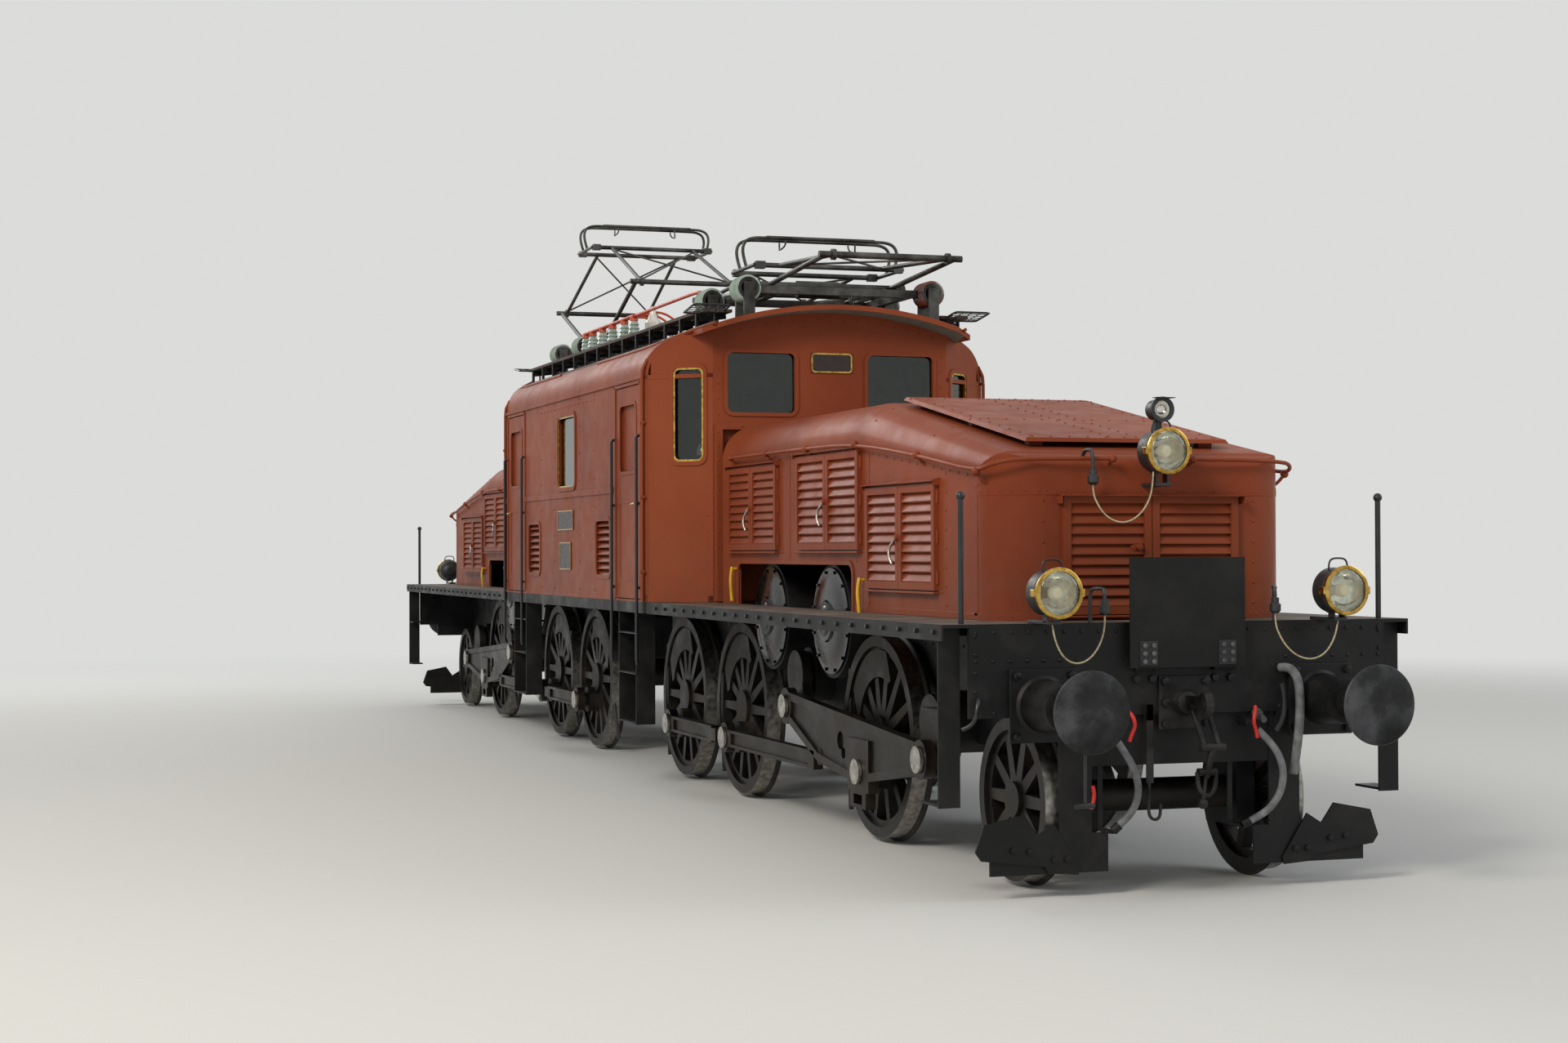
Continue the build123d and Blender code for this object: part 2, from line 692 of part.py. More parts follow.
def headlamps():
    """Two lower lamps on the running board and one on the nose, with a small marker above it."""
    with BuildPart() as lamps:
        for x, y, z, radius, base in ((9326, 894, 1678, 142, board_top), (9326, -894, 1678, 142, board_top),
                                      (8893, 0, 2481, 136, None)):
            bar((x - 190, y, z), (x, y, z), radius - 8)
            bar((x - 14, y, z), (x + 6, y, z), radius)
            if base:
                block((8990, x - 60), (y - 40, y + 40), (base, base + 24))
                block((x - 130, x - 60), (y - 40, y + 40), (base, z - radius + 30))
            else:
                block((hood_front_x, x - 100), (-50, 50), (2270, 2292))
                block((x - 150, x - 100), (-50, 50), (2270, z - radius + 20))
        for y in (-1, 1):
            x, side, z = lower_cable[0]
            bar((x, y * side, z), (x, y * side, z + socket_length), socket_radius)
            bar((x - 95, y * (side + 45), board_top), (x - 95, y * (side + 45), z + socket_length + 60), 12)
            bar((x - 95, y * (side + 45), z + socket_length + 48), (x, y * side, z + socket_length + 48), 12)
            bar((x, y * side, z + socket_length + 48), (x, y * side, z + socket_length), 12)
        x, y, z = nose_cable[0]
        bar((x, y, z), (x, y, z + socket_length), socket_radius)
        bar((hood_front_x, y, z + socket_length - 20), (x, y, z + socket_length - 20), 16)
        bar((8700, 0, 2723), (8800, 0, 2723), 75)
        block((8730, 8770), (-25, 25), (2600, 2670))
    return lamps.part


def round_route(points, diameter):
    """Solid tube along straight runs joined by arcs as large as the runs allow."""
    radii = []
    vectors = [Vector(*p) for p in points]
    for before, here, after in zip(vectors, vectors[1:], vectors[2:]):
        turn = (here - before).get_angle(after - here)
        shorter = min((here - before).length, (after - here).length)
        radii.append(0.45 * shorter / tan(radians(turn) / 2))
    with BuildPart() as tube:
        with BuildLine() as path:
            FilletPolyline(*points, radius=radii)
        with BuildSketch(Plane(origin=points[0], z_dir=vectors[1] - vectors[0])):
            Circle(diameter / 2)
        sweep(path=path.line)
    return tube.part, min(radii)


def hoses():
    """The hoses and lamp cables of one end, each a tube that touches no other."""
    pieces = []
    for diameter, points in brake_hoses + lamp_cables:
        tube, tightest = round_route(points, diameter)
        print("cord of", round(tube.volume / (pi * diameter ** 2 / 4)), "mm, tightest radius", round(tightest),
              "or", round(tightest / diameter, 1), "diameters")
        pieces += tube.solids()
    return Compound(pieces)


# Cab body


def cab_plan(inset):
    """Eight-sided plan of the cab, moved inwards by a wall thickness."""
    run = cab_half_length - side_half_length
    rise = cab_half_width - end_half_width
    panel = hypot(run, rise)
    y = cab_half_width - inset
    x = cab_half_length - inset
    reach = (rise * side_half_length + run * cab_half_width) / panel - inset
    side_x = (reach * panel - run * y) / rise
    end_y = (reach * panel - rise * x) / run
    return [(side_x, y), (x, end_y), (x, -end_y), (side_x, -y), (-side_x, -y), (-x, -end_y), (-x, end_y), (-side_x, y)]


def roof_prism(inset, half_length, low=wall_top):
    """Solid under the arched roof: two cant arcs and one crown arc, tangent to each other."""
    cant_y = cab_half_width - cant_radius
    crown_radius = hypot(cant_y, wall_top - crown_centre_z) + cant_radius - inset
    meet = degrees(atan2(wall_top - crown_centre_z, cant_y))
    radius = cant_radius - inset
    half = cab_half_width - inset
    with BuildPart() as prism:
        with BuildSketch(Plane.YZ.offset(-half_length)):
            with BuildLine():
                CenterArc((cant_y, wall_top), radius, 0, meet)
                CenterArc((0, crown_centre_z), crown_radius, meet, 180 - 2 * meet)
                CenterArc((-cant_y, wall_top), radius, 180 - meet, meet)
                Polyline((-half, wall_top), (-half, low - 1), (half, low - 1), (half, wall_top))
            make_face()
        extrude(amount=2 * half_length)
    return prism.part


def panel_place(fraction, inset, sign_x, sign_y, z):
    """A place on a slanting corner panel, a fraction of its width from the side wall."""
    run = cab_half_length - side_half_length
    rise = cab_half_width - end_half_width
    panel = hypot(run, rise)
    x = side_half_length + fraction * run - inset * rise / panel
    y = cab_half_width - fraction * rise - inset * run / panel
    angle = -degrees(atan2(rise, run)) * sign_x * sign_y
    return Location((sign_x * x, sign_y * y, z), (0, 0, angle))


corners = ((1, 1), (1, -1), (-1, 1), (-1, -1))


def window_holes(depth, y_shift=0.0):
    """Boxes of the fixed windows, as deep as asked and centred in the wall."""
    middle = cab_wall / 2
    with BuildPart() as holes:
        for side in (-1, 1):
            with Locations((0, side * (cab_half_width - middle), 2825)):
                Box(675, depth, 650)
        for sign_x, sign_y in corners:
            with Locations(panel_place(0.655, middle, sign_x, sign_y, 3005)):
                Box(264, depth, 750)
            with Locations((sign_x * (cab_half_length - middle), sign_y * 596, 3260)):
                Box(depth, 571, 480)
    return holes.part


def upper_walls():
    """What closes the space between the walls' level top and the arched roof: end walls and bulkheads."""
    inner = cab_half_width - cab_wall
    with BuildPart() as upper:
        plan_plate(cab_plan(0), wall_top, wall_top + 600)
        plan_plate(cab_plan(cab_wall), wall_top, wall_top + 600, Mode.SUBTRACT)
        for sign in (-1, 1):
            block(sorted((sign * bulkhead_x, sign * (bulkhead_x - bulkhead))), (-inner, inner),
                  (wall_top, wall_top + 600))
        block((-4000, 4000), (-inner, inner), (wall_top, wall_top + 700), Mode.INTERSECT)
        add(roof_prism(roof_plate, 4000), mode=Mode.INTERSECT)
    return upper.part


def cab_walls():
    """Walls of the cab with door openings, windows, louvres and two bulkheads."""
    with BuildPart() as walls:
        plan_plate(cab_plan(0), board_top, wall_top)
        plan_plate(cab_plan(cab_wall), board_top, wall_top, Mode.SUBTRACT)
        add(upper_walls())
        inner = cab_half_width - cab_wall
        for sign in (-1, 1):
            block(sorted((sign * bulkhead_x, sign * (bulkhead_x - bulkhead))), (-inner, inner), (board_top, wall_top))
        for sign_x, sign_y in corners:
            opening = (door_low_x, door_low_x + door_width + 2 * door_gap)
            block(sorted((sign_x * opening[0], sign_x * opening[1])),
                  sorted((sign_y * (inner - 5), sign_y * (cab_half_width + 5))),
                  (door_low - door_gap, door_high + door_gap), Mode.SUBTRACT)
            block(sorted((sign_x * 1120, sign_x * 1640)), sorted((sign_y * (inner - 5), sign_y * (cab_half_width + 5))),
                  (1700, 2190), Mode.SUBTRACT)
            with BuildSketch(Plane.YZ.offset(min(sign_x * 1120, sign_x * 1640))):
                for k in range(8):
                    z = 1702 + k * 61
                    with BuildLine():
                        Polyline((sign_y * (cab_half_width - 6), z), (sign_y * (cab_half_width - 6), z + 8),
                                 (sign_y * (inner + 6), z + 58), (sign_y * (inner + 6), z + 50), close=True)
                    make_face()
            extrude(amount=520)
            hinge_bars(sign_x, sign_y, False, running_clearance, Mode.SUBTRACT)
            hinge_bars(sign_x, sign_y, True, 0)
        add(window_holes(cab_wall + 20), mode=Mode.SUBTRACT)
        # Frame on the end wall round the hood's rear edge
        for sign in (-1, 1):
            with BuildSketch(Plane.YZ.offset(min(sign * cab_half_length, sign * (cab_half_length + arch_depth)))):
                with Locations((0, (arch_low + arch_top) / 2)):
                    Rectangle(2 * hood_half_width + 60, arch_top - arch_low)
                with Locations((0, (arch_low + arch_top) / 2 - arch_band / 2 - 1)):
                    Rectangle(2 * hood_half_width - 40, arch_top - arch_low - arch_band + 2, mode=Mode.SUBTRACT)
            extrude(amount=arch_depth)
    return walls.part


def cab_roof():
    """Arched roof shell with a canopy over each hood."""
    with BuildPart() as roof:
        add(roof_prism(0, canopy_x))
        add(roof_prism(roof_plate, canopy_x + 10, wall_top - 10), mode=Mode.SUBTRACT)
        run = cab_half_length - side_half_length
        rise = cab_half_width - end_half_width
        canopy_root = side_half_length + (cab_half_width - canopy_half_width) * run / rise
        quarter = [(side_half_length, cab_half_width), (canopy_root, canopy_half_width),
                   (canopy_x - 120, canopy_half_width), (canopy_x, canopy_half_width - 160)]
        right = quarter + [(x, -y) for x, y in reversed(quarter)]
        outline = right + [(-x, -y) for x, y in right]
        plan_plate(outline, wall_top, wall_top + 700, Mode.INTERSECT)
    return roof.part


def cab_underframe():
    """Floor, solebars, centre girders with the two pivots, and the steps below the doors."""
    under = board_top - floor_plate
    with BuildPart() as frame:
        plan_plate(cab_plan(0), under, board_top)
        plan_plate(cab_plan(0), board_top - board_edge, under)
        plan_plate(cab_plan(70), board_top - board_edge, under, Mode.SUBTRACT)
        for side in (-1, 1):
            block((-2900, 2900), sorted((side * 280, side * 330)), (1300, under))
        for sign in (-1, 1):
            block((sign * pivot_x - 200, sign * pivot_x + 200), (-330, 330), (1300, under))
            bar((sign * pivot_x, 0, 1286.3), (sign * pivot_x, 0, 1301), 190)
            bar((sign * pivot_x, 0, 1000), (sign * pivot_x, 0, 1300), 90)
        for sign_x, sign_y in corners:
            for x in (1850, 2410):
                side = sorted((sign_x * x, sign_x * (x + 14)))
                block(side, sorted((sign_y * 1300, sign_y * 1460)), (500, board_top - board_edge))
            for z in (515, 920, 1250):
                block(sorted((sign_x * 1864, sign_x * 2410)), sorted((sign_y * 1300, sign_y * 1465)), (z - 12, z))
    return frame.part


def hinge_spans(knuckles):
    """Heights of the door hinges: the middle third of each is on the door, the outer two on the wall."""
    third = hinge_length / 3
    spans = []
    for middle in (door_low + 220, (door_low + door_high) / 2, door_high - 220):
        if knuckles:
            spans.append((middle - 1.5 * third, middle - 0.5 * third - hinge_play))
            spans.append((middle + 0.5 * third + hinge_play, middle + 1.5 * third))
        else:
            spans.append((middle - 0.5 * third, middle + 0.5 * third))
    return spans


def hinge_bars(sign_x, sign_y, knuckles, grow, mode=Mode.ADD):
    """Hinge barrels of one door, on the wall or on the leaf, or the clearance round them."""
    x = sign_x * (door_low_x + door_gap)
    y = sign_y * (cab_half_width - cab_wall)
    for low, high in hinge_spans(knuckles):
        bar((x, y, low - min(grow, hinge_play)), (x, y, high + min(grow, hinge_play)), hinge_radius + grow, mode)


def cab_door(sign_x, sign_y):
    """Door leaf with its window; it opens inwards about its inner edge."""
    low = door_low_x + door_gap
    inner = cab_half_width - cab_wall
    with BuildPart() as leaf:
        block(sorted((sign_x * low, sign_x * (low + door_width))), sorted((sign_y * inner, sign_y * cab_half_width)),
              (door_low, door_high))
        block(sorted((sign_x * (low + 110), sign_x * (low + door_width - 110))),
              sorted((sign_y * (inner - 5), sign_y * (cab_half_width + 5))), (2560, 3130), Mode.SUBTRACT)
        block(sorted((sign_x * (low + 110), sign_x * (low + door_width - 110))),
              sorted((sign_y * (inner + 26), sign_y * (inner + 32))), (2560, 3130))
        hinge_bars(sign_x, sign_y, True, running_clearance, Mode.SUBTRACT)
        hinge_bars(sign_x, sign_y, False, 0)
    return leaf.part


def cab_fittings():
    """Driver's desk and seat in each cab end."""
    with BuildPart() as fittings:
        for sign in (-1, 1):
            block(sorted((sign * 2650, sign * 3025)), (-850, 850), (board_top, 2450))
            block(sorted((sign * 2330, sign * 2650)), (-600, 600), (2400, 2450))
            y = sign * -420
            bar((sign * 2050, y, board_top), (sign * 2050, y, 2050), 40)
            block(sorted((sign * 1870, sign * 2230)), (y - 200, y + 200), (2050, 2120))
            block(sorted((sign * 1840, sign * 1880)), (y - 190, y + 190), (2120, 2450))
    return fittings.part


def transformer():
    with BuildPart() as core:
        block((-900, 900), (-850, 850), (board_top, 3150))
        fillet(core.part.edges().filter_by(Axis.Z), 60)
    return core.part


def roof_walkways():
    """Board walks along both sides of the roof on brackets that follow its curve."""
    with BuildPart() as walks:
        for side in (-1, 1):
            for y in (880, 1010):
                block((-3250, 3250), sorted((side * y, side * (y + 120))), (3930, 3960))
            for k in range(7):
                x = -3000 + 1000 * k
                block((x - 15, x + 15), sorted((side * 900, side * 1100)), (3560, 3930))
        add(roof_prism(0, 4000), mode=Mode.SUBTRACT)
    return walks.part


def roof_conductors():
    """Bus bars on post insulators between the pantographs, with the main switch drum."""
    with BuildPart() as bus:
        for x in (-1500, -500, 500, 1500):
            bar((x, 0, 3800), (x, 0, 4060), 45)
            bar((x, 0, 3880), (x, 0, 3900), 75)
            bar((x, 0, 3950), (x, 0, 3970), 75)
        bar((-1550, 0, 4075), (1550, 0, 4075), 22)
        add(roof_prism(0, 4000), mode=Mode.SUBTRACT)
    return bus.part


# Pantographs


def pantograph_bases():
    """The two base frames: cross beams on drum insulators, which stand on the roof in forked lugs."""
    with BuildPart() as base:
        for centre in (-pantograph_x, pantograph_x):
            for x in (centre - 500, centre + 500):
                block((x - 30, x + 30), (-base_drum_y, base_drum_y), (3960, 4020))
                for y in (-base_drum_y, base_drum_y):
                    bar((x - 100, y, 3990), (x + 100, y, 3990), 88)
                    for end in (-1, 1):
                        block(sorted((x + end * 100, x + end * 125)), (y - 45, y + 45), (3650, 4040))
            for y in (-620, 620):
                block((centre - 500, centre + 500), (y - 30, y + 30), (3960, 4020))
                for x in (centre - pivot_half_spread, centre + pivot_half_spread):
                    block((x - 40, x + 40), (y - 18, y + 18), (4020, pantograph_z + 45))
                    drum(x, pantograph_z, arm_tube + 9 + running_clearance, y - 20, y + 20, Mode.SUBTRACT)
        add(roof_prism(0, 4000), mode=Mode.SUBTRACT)
    return base.part


def lower_arm():
    """Lower arm along +X from its shaft at the origin: two tubes, shaft and knuckle bar."""
    with BuildPart() as arm:
        drum(0, 0, arm_tube + 9, -650, 650)
        for y, tip in ((-arm_half_width, -arm_half_width), (arm_half_width, arm_half_width)):
            bar((0, y, 0), (arm_length, tip, 0), arm_tube)
        drum(arm_length, 0, arm_tube + 4, -knuckle_half_width, knuckle_half_width)
    return arm.part


def upper_arm():
    """Upper arm along +X from its knuckle at the origin to the apex tube, with crossed braces."""
    width = arm_half_width - 60
    top = arm_half_width - 90
    with BuildPart() as arm:
        for y, tip in ((-width, -top), (width, top)):
            bar((0, y, 0), (arm_length, tip, 0), arm_tube - 3)
        bar((60, -width, 0), (arm_length - 60, top, 0), 9)
        bar((60, width, 0), (arm_length - 60, -top, 0), 9)
        drum(arm_length, 0, arm_tube, -knuckle_half_width, knuckle_half_width)
        for y in (-width, width):
            drum(0, 0, 42, y - 16, y + 16)
        drum(0, 0, arm_tube + 4 + running_clearance, -700, 700, Mode.SUBTRACT)
    return arm.part


def bow():
    """Collector bow between the two apex tubes, with its contact strip."""
    with BuildPart() as piece:
        for y in (-bow_half_width + 40, bow_half_width - 40):
            bar((-pivot_half_spread, y, 0), (pivot_half_spread, y, 0), 16)
            bar((0, y, 0), (0, y, bow_height - 60), 14)
        for y, direction in ((-bow_half_width + 40, 1), (bow_half_width - 40, -1)):
            bar((0, y, bow_height - 60), (0, y + direction * 120, bow_height), 14)
        bar((0, -bow_half_width + 160, bow_height), (0, bow_half_width - 160, bow_height), 20)
        for x in (-pivot_half_spread, pivot_half_spread):
            for y in (-knuckle_half_width + 25, knuckle_half_width - 25):
                block((x - 30, x + 30), sorted((y, y * 1.15)), (-30, 30))
        for x in (-pivot_half_spread, pivot_half_spread):
            drum(x, 0, arm_tube + running_clearance, -900, 900, Mode.SUBTRACT)
    return piece.part


def save(piece, name):
    """Lifts a finished piece onto its wheel flanges, labels it and writes its file."""
    lifted = piece.moved(Location((0, 0, flange_depth)))
    lifted.label = name
    export_step(lifted, f"parts/{name}.step")


def at(x, z):
    return Location((x, 0, z))


# Bogies: each is drawn looking outwards, and the rear one is turned half round
for end, turn, crank_angle in (("front", 0, front_crank_angle), ("rear", 180, front_crank_angle - 90)):
    right, left = ("right", "left") if end == "front" else ("left", "right")
    pieces = {
        "bogie_frame": bogie_frame(),
        "running_board": running_board(),
        "hood": hood(),
        "louvre_doors": louvre_doors(),
        "motors": motors(),
        "buffers": buffers(),
        "coupling": coupling(),
        "flap_plate": flap_plate(),
        "headlamps": headlamps(),
        "hoses": hoses(),
        "carrying_axle": wheel_axle(carry_radius, 120, carry_spoke_count).moved(at(carry_axle_x, carry_radius)),
        "jackshaft": crank_shaft(crank_angle).moved(at(jackshaft_x, jackshaft_z)),
        "blind_shaft": crank_shaft(crank_angle).moved(at(blind_shaft_x, blind_shaft_z)),
        f"{right}_rods": rod_set(-1, crank_angle),
        f"{left}_rods": rod_set(1, crank_angle + 90),
    }
    axle = drive_axle(crank_angle)
    for number, x in enumerate(drive_axle_x, start=1):
        pieces[f"drive_axle_{number}"] = axle.moved(at(x, drive_radius))
    for name, piece in pieces.items():
        save(piece.rotate(Axis.Z, turn), f"{end}_{name}")

# Cab body
save(cab_walls(), "cab_walls")
save(cab_roof(), "cab_roof")
save(cab_underframe(), "cab_underframe")
save(cab_fittings(), "cab_fittings")
save(window_holes(8), "cab_glazing")
save(transformer(), "transformer")
save(roof_walkways(), "roof_walkways")
save(roof_conductors(), "roof_conductors")
for (sign_x, sign_y), name in zip(corners, ("front_left", "front_right", "rear_left", "rear_right")):
    save(cab_door(sign_x, sign_y), f"{name}_door")

# Pantographs: the front one is folded, the rear one is half raised
save(pantograph_bases(), "pantograph_bases")
for end, sign, angle in (("front", 1, folded_angle), ("rear", -1, raised_angle)):
    centre = sign * pantograph_x
    rise = arm_length * sin(radians(angle))
    reach = arm_length * cos(radians(angle))
    for half, direction in (("front", 1), ("rear", -1)):
        shaft_x = centre + direction * pivot_half_spread
        lower = lower_arm().rotate(Axis.Y, -angle)
        upper = upper_arm().rotate(Axis.Y, -angle)
        lower = lower if direction > 0 else lower.rotate(Axis.Z, 180)
        upper = upper.rotate(Axis.Z, 180) if direction > 0 else upper
        save(lower.moved(at(shaft_x, pantograph_z)), f"{end}_pantograph_{half}_lower_arm")
        knuckle = at(shaft_x + direction * reach, pantograph_z + rise)
        save(upper.moved(knuckle), f"{end}_pantograph_{half}_upper_arm")
    save(bow().moved(at(centre, pantograph_z + 2 * rise)), f"{end}_pantograph_bow")
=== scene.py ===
# %% [markdown]
# # An electric locomotive in enamel, grease and brass
# This lesson dresses a finished CAD model. The shapes that carry load come from the frame. What is
# made here is what a painter, a fitter and a rigger would add: paint, rivets, glass, pipes and hoses.
# Lengths are metres. Heights in the lists are above the rail head, and `rail_head` lifts them.

# %% Load the frame
import json
from contextlib import contextmanager
from math import cos, hypot, pi, radians, sin

import bpy
from mathutils import Matrix, Vector


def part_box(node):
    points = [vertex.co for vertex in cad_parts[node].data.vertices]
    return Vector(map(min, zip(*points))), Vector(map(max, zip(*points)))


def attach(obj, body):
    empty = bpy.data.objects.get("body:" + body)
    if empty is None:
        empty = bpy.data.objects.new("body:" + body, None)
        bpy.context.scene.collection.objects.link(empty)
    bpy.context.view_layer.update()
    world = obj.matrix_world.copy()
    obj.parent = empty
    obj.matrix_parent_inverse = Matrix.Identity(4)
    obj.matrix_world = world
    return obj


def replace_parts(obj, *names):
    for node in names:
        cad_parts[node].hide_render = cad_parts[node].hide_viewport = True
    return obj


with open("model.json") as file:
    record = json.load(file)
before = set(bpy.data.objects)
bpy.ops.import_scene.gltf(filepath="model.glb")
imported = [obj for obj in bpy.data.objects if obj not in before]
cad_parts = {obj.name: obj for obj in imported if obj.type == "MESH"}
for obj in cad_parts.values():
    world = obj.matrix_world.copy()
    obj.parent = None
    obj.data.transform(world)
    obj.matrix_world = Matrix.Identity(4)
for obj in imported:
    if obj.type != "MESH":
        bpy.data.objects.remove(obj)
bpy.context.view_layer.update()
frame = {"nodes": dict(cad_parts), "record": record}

nodes = frame["nodes"]
rail_head, millimetre = 0.028, 0.001
ahead, leftwards, upwards = Vector((1, 0, 0)), Vector((0, 1, 0)), Vector((0, 0, 1))
quarters = [(sign, side) for side in (-1, 1) for sign in (-1, 1)]        # front is sign 1, left is side 1

# %% [markdown]
# The camera stands where the photographer stood: about 12 m ahead of the buffers and 6 m to the right.
# Its place, its three angles and its lens were found by matching standard sizes, such as the buffers.

# %% Camera
camera_place = Vector((20.993, -6.329, 1.912 + rail_head))
yaw, pitch, roll = 0.3194, 0.0126, -0.0034
picture_width, focal_pixels, sensor_width = 1920, 2876.45, 36.0

forward = Vector((-cos(yaw) * cos(pitch), sin(yaw) * cos(pitch), sin(pitch)))
level_right = forward.cross(upwards).normalized()
level_up = level_right.cross(forward)
camera_right = level_right * cos(roll) + level_up * sin(roll)
camera_up = level_up * cos(roll) - level_right * sin(roll)

bpy.ops.object.camera_add()
camera = bpy.context.object
camera.name = "camera"
camera.data.lens = focal_pixels * sensor_width / picture_width
camera.data.sensor_fit = "HORIZONTAL"
camera.data.sensor_width = sensor_width
camera.data.clip_end = 400
turned = Matrix((camera_right, camera_up, -forward)).transposed()
camera.matrix_world = Matrix.Translation(camera_place) @ turned.to_4x4()
bpy.context.scene.camera = camera
print("lens", round(camera.data.lens, 2), "mm")

# %% [markdown]
# Brake hoses and lamp cables are flexible, so each is one smooth curve: a NURBS spline whose control
# points are the points of the route. It leaves its cock or socket straight and sags under its weight.

# %% Helpers for lines and tubes


def clear_selection():
    bpy.ops.object.select_all(action="DESELECT")


def select_only(pieces):
    clear_selection()
    for piece in pieces:
        piece.select_set(True)
    bpy.context.view_layer.objects.active = pieces[0]


def nurbs_line(name, points, order, steps):
    """One open NURBS spline through the air, which starts and ends on its end points."""
    data = bpy.data.curves.new(name, "CURVE")
    data.dimensions = "3D"
    data.resolution_u = steps
    spline = data.splines.new("NURBS")
    spline.points.add(len(points) - 1)
    for slot, point in zip(spline.points, points):
        slot.co = (*point, 1)
    spline.order_u = order
    spline.use_endpoint_u = True
    line = bpy.data.objects.new(name, data)
    bpy.context.scene.collection.objects.link(line)
    return line


def thicken(line, thick, sides):
    """Makes a line a tube, and the tube a mesh."""
    line.data.bevel_depth = thick / 2
    line.data.bevel_resolution = sides
    select_only([line])
    bpy.ops.object.convert(target="MESH")
    return bpy.context.object


def centreline(line):
    """Points of the drawn line, read from its mesh while it has no thickness."""
    bpy.context.view_layer.update()
    drawn = bpy.data.meshes.new_from_object(line)
    points = [v.co.copy() for v in drawn.vertices]
    bpy.data.meshes.remove(drawn)
    return points


# %% Hoses and lamp cables
hose_thick, cable_thick = 0.042, 0.01
right_hose = [(9.15, -0.468, 0.855), (9.172, -0.432, 0.792), (9.19, -0.396, 0.724), (9.202, -0.371, 0.652),
              (9.206, -0.361, 0.577), (9.2, -0.373, 0.503), (9.186, -0.408, 0.436), (9.168, -0.462, 0.384)]
left_hose = [(9.15, 0.419, 0.889), (9.18, 0.482, 0.822), (9.202, 0.531, 0.738), (9.21, 0.55, 0.643),
             (9.204, 0.537, 0.548), (9.188, 0.497, 0.468), (9.168, 0.437, 0.409), (9.15, 0.366, 0.374)]
lower_cable = [(9.15, 0.536, 1.548), (9.15, 0.536, 1.49), (9.16, 0.556, 1.425), (9.172, 0.592, 1.362),
               (9.185, 0.644, 1.312), (9.198, 0.704, 1.287), (9.21, 0.766, 1.29), (9.22, 0.82, 1.322),
               (9.227, 0.86, 1.38), (9.231, 0.884, 1.445), (9.232, 0.894, 1.503)]
nose_cable = [(8.76, -0.415, 2.285), (8.76, -0.415, 2.235), (8.772, -0.396, 2.18), (8.784, -0.364, 2.125),
              (8.798, -0.318, 2.085), (8.81, -0.262, 2.068), (8.818, -0.206, 2.078), (8.822, -0.154, 2.112),
              (8.822, -0.11, 2.163), (8.818, -0.078, 2.224), (8.812, -0.062, 2.29), (8.808, -0.055, 2.363)]
cord_routes = {
    "right_brake_hose": (hose_thick, right_hose),
    "left_brake_hose": (hose_thick, left_hose),
    "left_lamp_cable": (cable_thick, lower_cable),
    "right_lamp_cable": (cable_thick, [(x, -y, z) for x, y, z in lower_cable]),
    "nose_lamp_cable": (cable_thick, nose_cable),
}

cords = []
for end, side in (("front", 1), ("rear", -1)):
    for name, (thick, route) in cord_routes.items():
        points = [Vector((side * x, side * y, z + rail_head)) for x, y, z in route]
        line = nurbs_line(f"{end}_{name}", points, 3, 12)
        drawn = centreline(line)
        cord = thicken(line, thick, 5)
        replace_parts(cord, f"{end}_hoses")
        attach(cord, f"{end}_bogie")
        cords.append(cord)

# %% [markdown]
# Every finish below is a small network of nodes. Two helpers keep them readable: one turns a hex colour
# from the eye's scale to the renderer's, the other adds a node with its settings and its links.

# %% Helpers for the finishes


def linear(hex_colour):
    """sRGB hex to linear RGBA."""
    channels = [int(hex_colour[i:i + 2], 16) / 255 for i in (1, 3, 5)]
    return tuple(c / 12.92 if c <= 0.04045 else ((c + 0.055) / 1.055) ** 2.4 for c in channels) + (1.0,)


def add_node(tree, kind, settings=None, links=None):
    """Adds a node, sets its sockets or properties by name, and links what feeds it."""
    made = tree.nodes.new(kind)
    for name, value in (settings or {}).items():
        if isinstance(name, int) or name in made.inputs:
            made.inputs[name].default_value = value
        else:
            setattr(made, name, value)
    for name, source in (links or {}).items():
        tree.links.new(source, made.inputs[name])
    return made


def new_material(name):
    """An empty material with its shader, its tree and its Object coordinates."""
    material = bpy.data.materials.new(name)
    material.use_nodes = True
    tree = material.node_tree
    place = add_node(tree, "ShaderNodeTexCoord").outputs["Object"]
    return material, tree, tree.nodes["Principled BSDF"], place


def noise(tree, place, size, detail=3.0, rough=0.55, stretch=None):
    """Soft random pattern whose blotches are about `size` metres across, stretched if asked."""
    if stretch:
        place = add_node(tree, "ShaderNodeMapping", {"Scale": stretch}, {"Vector": place}).outputs["Vector"]
    settings = {"Scale": 0.5 / size, "Detail": detail, "Roughness": rough}
    return add_node(tree, "ShaderNodeTexNoise", settings, {"Vector": place}).outputs["Fac"]


def ramp(tree, source, stops):
    """Turns a number into a colour, from (place, hex) stops."""
    made = add_node(tree, "ShaderNodeValToRGB", links={"Fac": source})
    made.color_ramp.elements.remove(made.color_ramp.elements[1])
    for i, (at, hex_colour) in enumerate(stops):
        stop = made.color_ramp.elements[0] if i == 0 else made.color_ramp.elements.new(at)
        stop.position = at
        stop.color = linear(hex_colour)
    return made.outputs["Color"]


def spread(tree, source, low, high, from_low=0.3, from_high=0.7):
    """Maps the middle of a pattern to the range low to high."""
    settings = {"From Min": from_low, "From Max": from_high, "To Min": low, "To Max": high}
    return add_node(tree, "ShaderNodeMapRange", settings, {"Value": source}).outputs["Result"]


def bump(tree, shader, layers):
    """Stacks height patterns, each with its depth in metres, into the shader's normal."""
    links = {}
    for height, depth in layers:
        links["Height"] = height
        made = add_node(tree, "ShaderNodeBump", {"Distance": depth, "Strength": 1.0}, links)
        links["Normal"] = made.outputs["Normal"]
    tree.links.new(links["Normal"], shader.inputs["Normal"])


